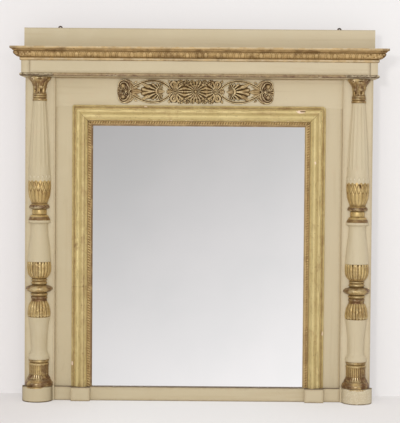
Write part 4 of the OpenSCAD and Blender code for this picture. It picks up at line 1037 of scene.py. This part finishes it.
def plinth(side):
    """Half-round plinth with an eased top edge, on its flat plate."""
    sign = 1 if side == "right" else -1
    profile = [(0.6, 0), (0, 0.6), (0, 2.6), (0, 4.6), (0, 20.0), (0, 47.0), (0, 53.0), (0.5, 56.4), (1.7, PLINTH_H)]
    theta = np.linspace(0, math.pi, 65)
    rings = []
    for inset, z in profile:
        rings.append([(sign * X_PLINTH - (PLINTH_R - inset) * math.cos(t),
                       BACK - D_CASE - (PLINTH_R - inset) * math.sin(t), z)
                      for t in theta])
    points = [p for ring in rings for p in ring]
    cols = len(theta)
    faces = grid_faces(len(profile), cols).tolist()
    faces.append([j for j in range(cols)][::-1])
    faces.append([(len(profile) - 1) * cols + j for j in range(cols)])
    none = np.zeros(len(points))
    rub = np.exp(-((np.degrees(theta) - 84) / 42) ** 4)
    # rim paints shade as cavity: dark at the flanks where the half round meets its plate, along the floor, and along
    # the top edge towards the sides
    rim = (np.tile(0.08 + 0.42 * np.abs(np.cos(theta)) ** 8, len(profile))
           + np.outer([1, 1, 1, 0, 0, 0, 0, 0, 0], 1 + none[:cols]).ravel()
           + np.outer([0, 0, 0, 0, 0, 0, 0, 0.4, 0.4], 1 - rub).ravel())
    rub = np.outer([0, 0, 0, 0, 0, 0, 0.6, 0.85, 0.9], rub).ravel()
    obj = build("plinth_%s_painted" % side, points, faces, cavity=rim * (1.0 if sign < 0 else 0.7), ridge=none,
                bole=none + 0.4, gilt=rub, chip=none + (0.0 if sign < 0 else 0.43))
    obj.data.polygons.foreach_set("use_smooth", [len(p.vertices) == 4 for p in obj.data.polygons])
    x0, x1 = sorted((sign * X_FIELD, sign * (X_PLINTH + PLINTH_R)))
    work = bmesh.new()
    bmesh.ops.create_cube(work, size=1.0)
    middle, size = ((x0 + x1) / 2, BACK - D_CASE - PLATE / 2, PLINTH_H / 2), (x1 - x0, PLATE, PLINTH_H)
    for v in work.verts:
        v.co = [(m + c * d) * MM for m, c, d in zip(middle, v.co, size)]
    bmesh.ops.bevel(work, geom=work.edges[:], offset=1.0 * MM, segments=2, affect="EDGES")
    work.from_mesh(obj.data)
    work.to_mesh(obj.data)
    work.free()
    return piece(obj, GILT_OR_CREAM, "cream_paint", "plinth_" + side)


plinth("left")
plinth("right")


# ---------------------------------------------------------------- ornament

ORN_X, ORN_Z = -14.0, 1169.5       # middle of the flower
STEP, ORN_RISE = 0.75, 10.9        # of the height grid; highest point over the header
OX, OY = np.meshgrid(np.arange(-298, 298.1, STEP), np.arange(-45.5, 45.1, STEP), indexing="ij")


def leaf(x0, y0, angle, length, width, rise, bend=0.0):
    """Height of a carved leaf that starts at x0, y0 and curls by bend degrees along its length."""
    dx, dy = OX - x0, OY - y0
    if bend:
        k = math.radians(bend) / length
        a0 = math.radians(angle)
        side = 1 if k > 0 else -1
        radius = 1 / abs(k)
        cx, cy = -side * radius * math.sin(a0), side * radius * math.cos(a0)
        rx, ry = dx - cx, dy - cy
        turn = side * (np.arctan2(ry, rx) - math.atan2(-cy, -cx))
        turn = (turn + math.pi) % (2 * math.pi) - math.pi
        u = turn * radius / length
        v = side * (radius - np.hypot(rx, ry))
    else:
        c, s = math.cos(math.radians(angle)), math.sin(math.radians(angle))
        u = (dx * c + dy * s) / length
        v = -dx * s + dy * c
    uu = unit(u)
    w = width / 2 * (np.sin(math.pi * uu ** 0.62) ** 0.75 * (1 - 0.25 * uu) + 0.12)
    q = v / w
    inside = (u > -0.02) & (u < 1) & (np.abs(q) < 1)
    h = rise * (0.45 + 0.55 * np.sin(math.pi * unit(uu) ** 0.8)) * np.sqrt(unit(1 - q * q))
    h -= 0.22 * rise * hump(q, 0.13) * (uu < 0.93)
    h -= 0.07 * rise * np.cos(q * 3 * math.pi) * np.sin(math.pi * uu)
    return np.where(inside, h, 0.0)


def band(points, width, rise, groove=0.4, taper=None):
    """Height of a strap along points: a band with a groove down its middle."""
    points = np.array(points, float)
    best = np.full(OX.shape, 1e9)
    where = np.zeros_like(OX)
    total = np.r_[0, np.cumsum(np.linalg.norm(np.diff(points, axis=0), axis=1))]
    for i, (a, b) in enumerate(zip(points[:-1], points[1:])):
        d = b - a
        t = unit(((OX - a[0]) * d[0] + (OY - a[1]) * d[1]) / (d @ d))
        dist = np.hypot(OX - a[0] - t * d[0], OY - a[1] - t * d[1])
        near = dist < best
        best = np.where(near, dist, best)
        where = np.where(near, (total[i] + t * math.sqrt(d @ d)) / total[-1], where)
    w = width / 2 * (1 if taper is None else np.interp(where, *taper))
    q = best / w
    h = rise * unit(1 - q ** 4) ** 0.5 * (1 - groove * hump(q, 0.36))
    return np.where(q < 1, h, 0.0)


def pearl(x, y, r, rise):
    return rise * np.sqrt(unit(1 - ((OX - x) ** 2 + (OY - y) ** 2) / r ** 2))


def spiral(x, y, r1, r2, a, b, n=26):
    t = np.linspace(0, 1, n)
    r, c = r1 + (r2 - r1) * t, np.radians(a + (b - a) * t)
    return np.stack([x + r * np.cos(c), y + r * np.sin(c)], 1).tolist()


def fan(x0, y0, reach, count, rise, curl=0.0, base=0.2, hole=3.0, shift=0.0, cut=0.14):
    """Dense leaves that open from x0, y0. reach gives (angle, length) rows from 0 to 180 degrees, the same on both
    sides."""
    dx, dy = OX - x0, OY - y0
    r, a = np.hypot(dx, dy), np.degrees(np.arctan2(dy, dx))
    limit = pchip(reach, np.abs(a))
    part = unit(r / limit)
    t = np.abs(a) * count / 180 + shift - curl * part ** 2
    u = 2 * (t - np.floor(t)) - 1
    limit = limit * (1 - cut + cut * round_top(u))
    part = r / limit
    form = base + (1 - base) * (0.5 + 0.5 * np.cos(math.pi * u)) ** 0.8 + 0.06 * np.cos(part * 22)
    swell = 0.6 + 0.4 * np.sin(math.pi * unit(part) ** 0.9)
    h = rise * form * swell * smoothstep(1.02, 0.9, part) * smoothstep(0, hole, r)
    return np.where(part < 1.02, h, 0.0)


def ornament_height():
    parts = []

    def both(fn, *args, **kw):
        """The same element in the four quarters."""
        for sx in (1, -1):
            for sy in (1, -1):
                parts.append(fn(sx, sy, *args, **kw))

    def q_leaf(sx, sy, x, y, angle, length, width, rise, bend=0.0):
        a = angle if sx > 0 else 180 - angle
        a = a if sy > 0 else -a
        return leaf(sx * x, sy * y, a, length, width, rise, bend * sx * sy)

    def q_band(sx, sy, points, *args, **kw):
        return band([(sx * p[0], sy * p[1]) for p in points], *args, **kw)

    def q_pearl(sx, sy, x, y, r, rise):
        return pearl(sx * x, sy * y, r, rise)

    # loops: a double line round the palmettes
    t = np.linspace(0, 1, 26)
    loop = np.stack([95 + 160 * t, 7 * (1 - t) + 36.0 * np.sin(math.pi * t ** 0.84) ** 0.8], 1)
    both(q_band, loop, 10.5, 8.2, 0.85)
    # end volutes: a thick scroll round a boss, leafy wings and a pearl
    both(q_band, [(252, 2), (247, 10), (248, 22)] + spiral(272, 20, 21, 13, 172, -60, 30), 15.0, 10.4, 0.5,
         taper=([0, 0.3, 1], [0.5, 1.1, 0.6]))
    both(q_pearl, 274, 20, 9.5, 8.8)
    parts.append(np.where(((np.abs(OX) - 270) / 25) ** 2 + (np.abs(OY) / 36) ** 2 < 1, 3.4, 0.0))
    both(q_leaf, 244, 0, 180, 46, 22, 5.8)
    both(q_leaf, 268, 40, 190, 46, 15, 9.0, 38)
    both(q_leaf, 262, 32, 204, 42, 13, 8.4, 26)
    both(q_leaf, 254, 24, 214, 30, 11, 7.6, 18)
    both(q_leaf, 229, 29, 110, 14, 8, 6.0, 60)
    both(q_leaf, 250, 5, 164, 44, 9, 6.4, -8)

    def sided(x0, *args, **kw):
        h = fan(x0, *args, **kw)
        parts.extend((h, h[::-1]))

    sided(274, 0, [(0, 22), (40, 20), (90, 16), (180, 20)], 6, 8.8, shift=0.5)
    sided(262, 0, [(0, 5), (180, 5)], 1, 10.4, base=1.0, hole=0.01)
    # palmettes on a low ground, opening outwards from a crescent, and the leaf behind it
    parts.append(np.where(((np.abs(OX) - 170) / 33) ** 2 + (OY / 28) ** 2 < 1, 1.2, 0.0))
    sided(126, 0, [(0, 84), (13, 77), (22, 65), (35, 53), (50, 41), (75, 31), (90, 27), (105, 14), (120, 5),
                   (180, 3)],
          11, 10.2, curl=0.5, base=0.02, shift=0.5, hole=16, cut=0.24)
    both(q_leaf, 146, 0, 180, 30, 18, 7.0)
    both(q_leaf, 172, 15, 24, 40, 14, 10.0, 10)
    both(q_band, spiral(131, 0, 17, 17, 0, 60, 12), 10.0, 10.8, 0.0, taper=([0, 1], [1.0, 0.25]))
    # nodes beside the flower, with leaves all round and scrolls in the corners, on a low ground
    parts.append(np.where((np.abs(OX) < 99) & (np.abs(OY) < 39.5 + 2.0 * np.sin(OX * 0.4)), 1.2, 0.0))
    sided(76, 0, [(0, 34), (20, 32), (38, 30), (55, 38), (90, 42), (120, 45), (150, 44), (180, 42)], 7, 9.0,
          curl=0.3, shift=0.5)
    sided(76, 0, [(0, 31), (14, 28), (30, 8), (150, 8), (166, 28), (180, 33)], 6, 10.4, shift=0.5)
    both(q_band, [(68, 10), (70, 18)] + spiral(82, 27, 12.0, 8.0, -150, 215, 30), 7.6, 8.8, 0.3,
         taper=([0, 0.4, 1], [0.7, 1.1, 0.85]))
    both(q_pearl, 82, 27, 4.6, 10.8)
    both(q_leaf, 97, 32, 60, 13, 10, 9.0, 30)
    parts.append(fan(0, 0, [(0, 50), (30, 50), (60, 43), (90, 42), (120, 43), (150, 50), (180, 50)], 9, 8.8,
                     curl=0.15, shift=0.5))
    for x, y, r, count in ((57, 35, 12.0, 3), (33, 33, 13.0, 4), (12, 37, 9.0, 3)):
        h = fan(x, y, [(0, r), (180, r)], count, 9.6, hole=2.0, shift=0.25)
        parts.extend((h, h[::-1], h[:, ::-1], h[::-1, ::-1]))
    parts.append(fan(0, 0, [(0, 38), (50, 31), (90, 28), (130, 31), (180, 38)], 8, 10.9, base=0.02, shift=0.5,
                     cut=0.2))
    parts.append(pearl(0, 0, 5.0, ORN_RISE))
    return np.maximum.reduce(parts)


def ornament():
    h = ornament_height()
    h = np.clip(h + 0.35 * wobble(h, (130, 24), 90) * (h > 0.6), 0, ORN_RISE)
    soft = blur(h, 1)
    keep = h > 0.5
    h = np.where(keep, 0.6 * h + 0.4 * soft, 0.0)
    fine, broad = h - blur(h, 2), h - blur(h, 6)
    # cavity: grime and painted shade in the gaps and on the low ground; ridge: painted highlight on the crests
    cavity = unit(-0.45 * fine - 0.2 * broad + 0.38 * smoothstep(4.4, 1.7, h))
    ridge = unit(0.7 * fine + 0.2 * broad - 0.25)
    patches = smoothstep(0.1, 0.8, wobble(h, (26, 5), 93)) + 1.3 * smoothstep(232, 252, np.abs(OX)) * (
        np.hypot(np.abs(OX) - 274, np.abs(OY) - 20) > 8)
    rows, cols = h.shape
    near = keep.copy()
    for sx, sy in ((1, 0), (-1, 0), (0, 1), (0, -1)):
        near |= np.roll(np.roll(keep, sx, 0), sy, 1)
    quads = grid_faces(rows, cols)
    use = near.ravel()[quads].all(1)
    quads = quads[use]
    used = np.unique(quads)
    index = np.full(rows * cols, -1)
    index[used] = np.arange(len(used))
    y = BACK - D_FIELD - np.maximum(h, 0.0)
    points = np.stack([(OX + ORN_X).ravel(), y.ravel(), (OY + ORN_Z).ravel()], 1)[used]
    obj = build("ornament_carved", points, index[quads][:, ::-1].tolist(),
                cavity=cavity.ravel()[used], ridge=ridge.ravel()[used], bole=unit(0.6 * patches).ravel()[used])
    return piece(obj, GILT_ORNAMENT, "worn_gilt", "ornament")


ornament()


# ---------------------------------------------------------------- camera, light and stage

# The camera, fitted to the straight edges of the case: focal length and picture height in pixels, place in metres,
# turns in degrees
FOCAL, PICTURE, SENSOR = 1328.5, 423.0, 36.0
EYE = (0.0137, -4.9735, 0.9047)
YAW, PITCH, ROLL = 0.088, 2.125, 0.459


def camera():
    data = bpy.data.cameras.new("camera")
    data.sensor_width = SENSOR
    data.lens = FOCAL * SENSOR / PICTURE
    data.clip_start, data.clip_end = 0.05, 60.0
    obj = bpy.data.objects.new("camera", data)
    bpy.context.scene.collection.objects.link(obj)
    obj.location = EYE
    obj.rotation_mode = "XYZ"
    yaw, pitch, roll = (Matrix.Rotation(math.radians(angle), 4, axis)
                        for angle, axis in ((YAW, "Z"), (90 - PITCH, "X"), (ROLL, "Z")))
    obj.rotation_euler = (yaw @ pitch @ roll).to_euler("XYZ")
    bpy.context.scene.camera = obj


AIM, LAMP_SIZE = (0.0, 0.0, 0.75), 0.42


def lamp(name, place, watts, color):
    data = bpy.data.lights.new(name, "AREA")
    data.shape, data.size, data.size_y = "RECTANGLE", LAMP_SIZE, LAMP_SIZE
    data.energy, data.color = watts, color
    obj = bpy.data.objects.new(name, data)
    bpy.context.scene.collection.objects.link(obj)
    obj.location = place
    obj.rotation_euler = (Vector(AIM) - Vector(place)).to_track_quat("-Z", "Y").to_euler()


GLOW = 0.45           # share of the backdrop's own light


def stage_plane(name, corners, left, right, open_to_gloss, middle=None):
    """One side of a plain backdrop with painted light, lighter to the right and, given middle, in the middle, partly
    bright of itself where it is seen, so that it stays pale beside the case. It is clear from behind and, for the
    floor, in the glass."""
    mesh = bpy.data.meshes.new(name)
    mesh.from_pydata(corners, [], [(0, 1, 2, 3)])
    obj = new_object(name, mesh)
    g = Graph(name)
    across = g.ramp(g.axes(g.place)[0], -0.9, 0.9)
    tone = g.mix(g.line(g.noise(1.1, 2.0), 0.1, g.minus(across, 0.05)), left, right)
    if middle:
        inner = g.invert(g.ramp(g.math("ABSOLUTE", g.axes(g.place)[0]), 0.2, 0.75))
        tone = g.mix(inner, tone, middle)
    ray = g.add("ShaderNodeLightPath").outputs
    plain = g.add("ShaderNodeBsdfDiffuse", {"Color": tone}).outputs[0]
    seen = g.math("MAXIMUM", ray["Is Camera Ray"],
                  g.math("MAXIMUM", ray["Is Glossy Ray"], ray["Is Transmission Ray"]))
    glow = g.add("ShaderNodeEmission", {"Color": tone, "Strength": 1.0}).outputs[0]
    plain = g.add("ShaderNodeMixShader", {0: g.times(seen, GLOW), 1: plain, 2: glow}).outputs[0]
    clear = g.add("ShaderNodeBsdfTransparent").outputs[0]
    hidden = g.add("ShaderNodeNewGeometry").outputs["Backfacing"]
    if open_to_gloss:
        hidden = g.math("MAXIMUM", hidden, ray["Is Glossy Ray"])
    g.put(g.out.inputs["Surface"], g.add("ShaderNodeMixShader", {0: hidden, 1: plain, 2: clear}).outputs[0])
    mesh.materials.append(g.material)


def world():
    """A pale room. What the glass shows runs from darker at the upper left to lighter at the lower right."""
    made = bpy.data.worlds.new("room")
    made.use_nodes = True
    tree = made.node_tree
    tree.nodes.clear()
    g = Graph.__new__(Graph)
    g.tree = tree
    out = g.add("ShaderNodeOutputWorld")
    direction = g.add("ShaderNodeTexCoord").outputs["Generated"]
    x, y, z = g.axes(direction)
    sides = g.times(g.add("ShaderNodeClamp", {0: x, 1: -0.09, 2: 0.09}).outputs[0], 1.19)
    drop = g.minus(g.add("ShaderNodeClamp", {0: z, 1: -0.18, 2: 0.04}).outputs[0], 0.019)
    glass = g.plus(g.line(drop, -1.91, 0.60), sides)
    wide = g.ramp(g.math("ABSOLUTE", x), 0.25, 0.85)
    glass = g.times(glass, g.line(wide, -0.6, 1.0))
    glass = g.line(g.ramp(z, 0.15, 0.7), 0.35, glass)
    facing = g.times(g.math("POWER", g.math("MAXIMUM", g.times(y, -1.0), 0.0), 2.0), 0.43)
    room = g.plus(g.line(g.math("MAXIMUM", z, 0.0), 0.15, 0.59), facing)
    light = g.blendf(g.add("ShaderNodeLightPath").outputs["Is Glossy Ray"], room, glass)
    level = g.add("ShaderNodeCombineColor", {0: light, 1: g.times(light, 0.985),
                                             2: g.times(light, 0.985)}).outputs[0]
    seen = g.add("ShaderNodeLightPath").outputs["Is Camera Ray"]
    color = g.over(level, (240, 237, 236), seen)
    back = g.add("ShaderNodeBackground", {0: color, 1: 1.0}).outputs[0]
    g.put(out.inputs["Surface"], back)
    bpy.context.scene.world = made


camera()
world()
lamp("key", (-0.86, -4.95, 1.58), 56.0, (1.0, 0.99, 0.97))
lamp("counter", (0.9, -4.95, 1.6), 10.0, (1.0, 1.0, 1.0))
WALL, SIDE, FRONT, TOP = (BACK + 100) * MM, 4, -2.6, 3.2
stage_plane("wall", [(-SIDE, WALL, 0), (SIDE, WALL, 0), (SIDE, WALL, TOP), (-SIDE, WALL, TOP)], rgb(238, 235, 234),
            rgb(244, 242, 241), False)
stage_plane("floor", [(-SIDE, FRONT, 0), (SIDE, FRONT, 0), (SIDE, WALL, 0), (-SIDE, WALL, 0)], rgb(235, 231, 229),
            rgb(243, 240, 238), True, rgb(247, 245, 243))
bpy.context.scene.view_settings.view_transform = "Standard"
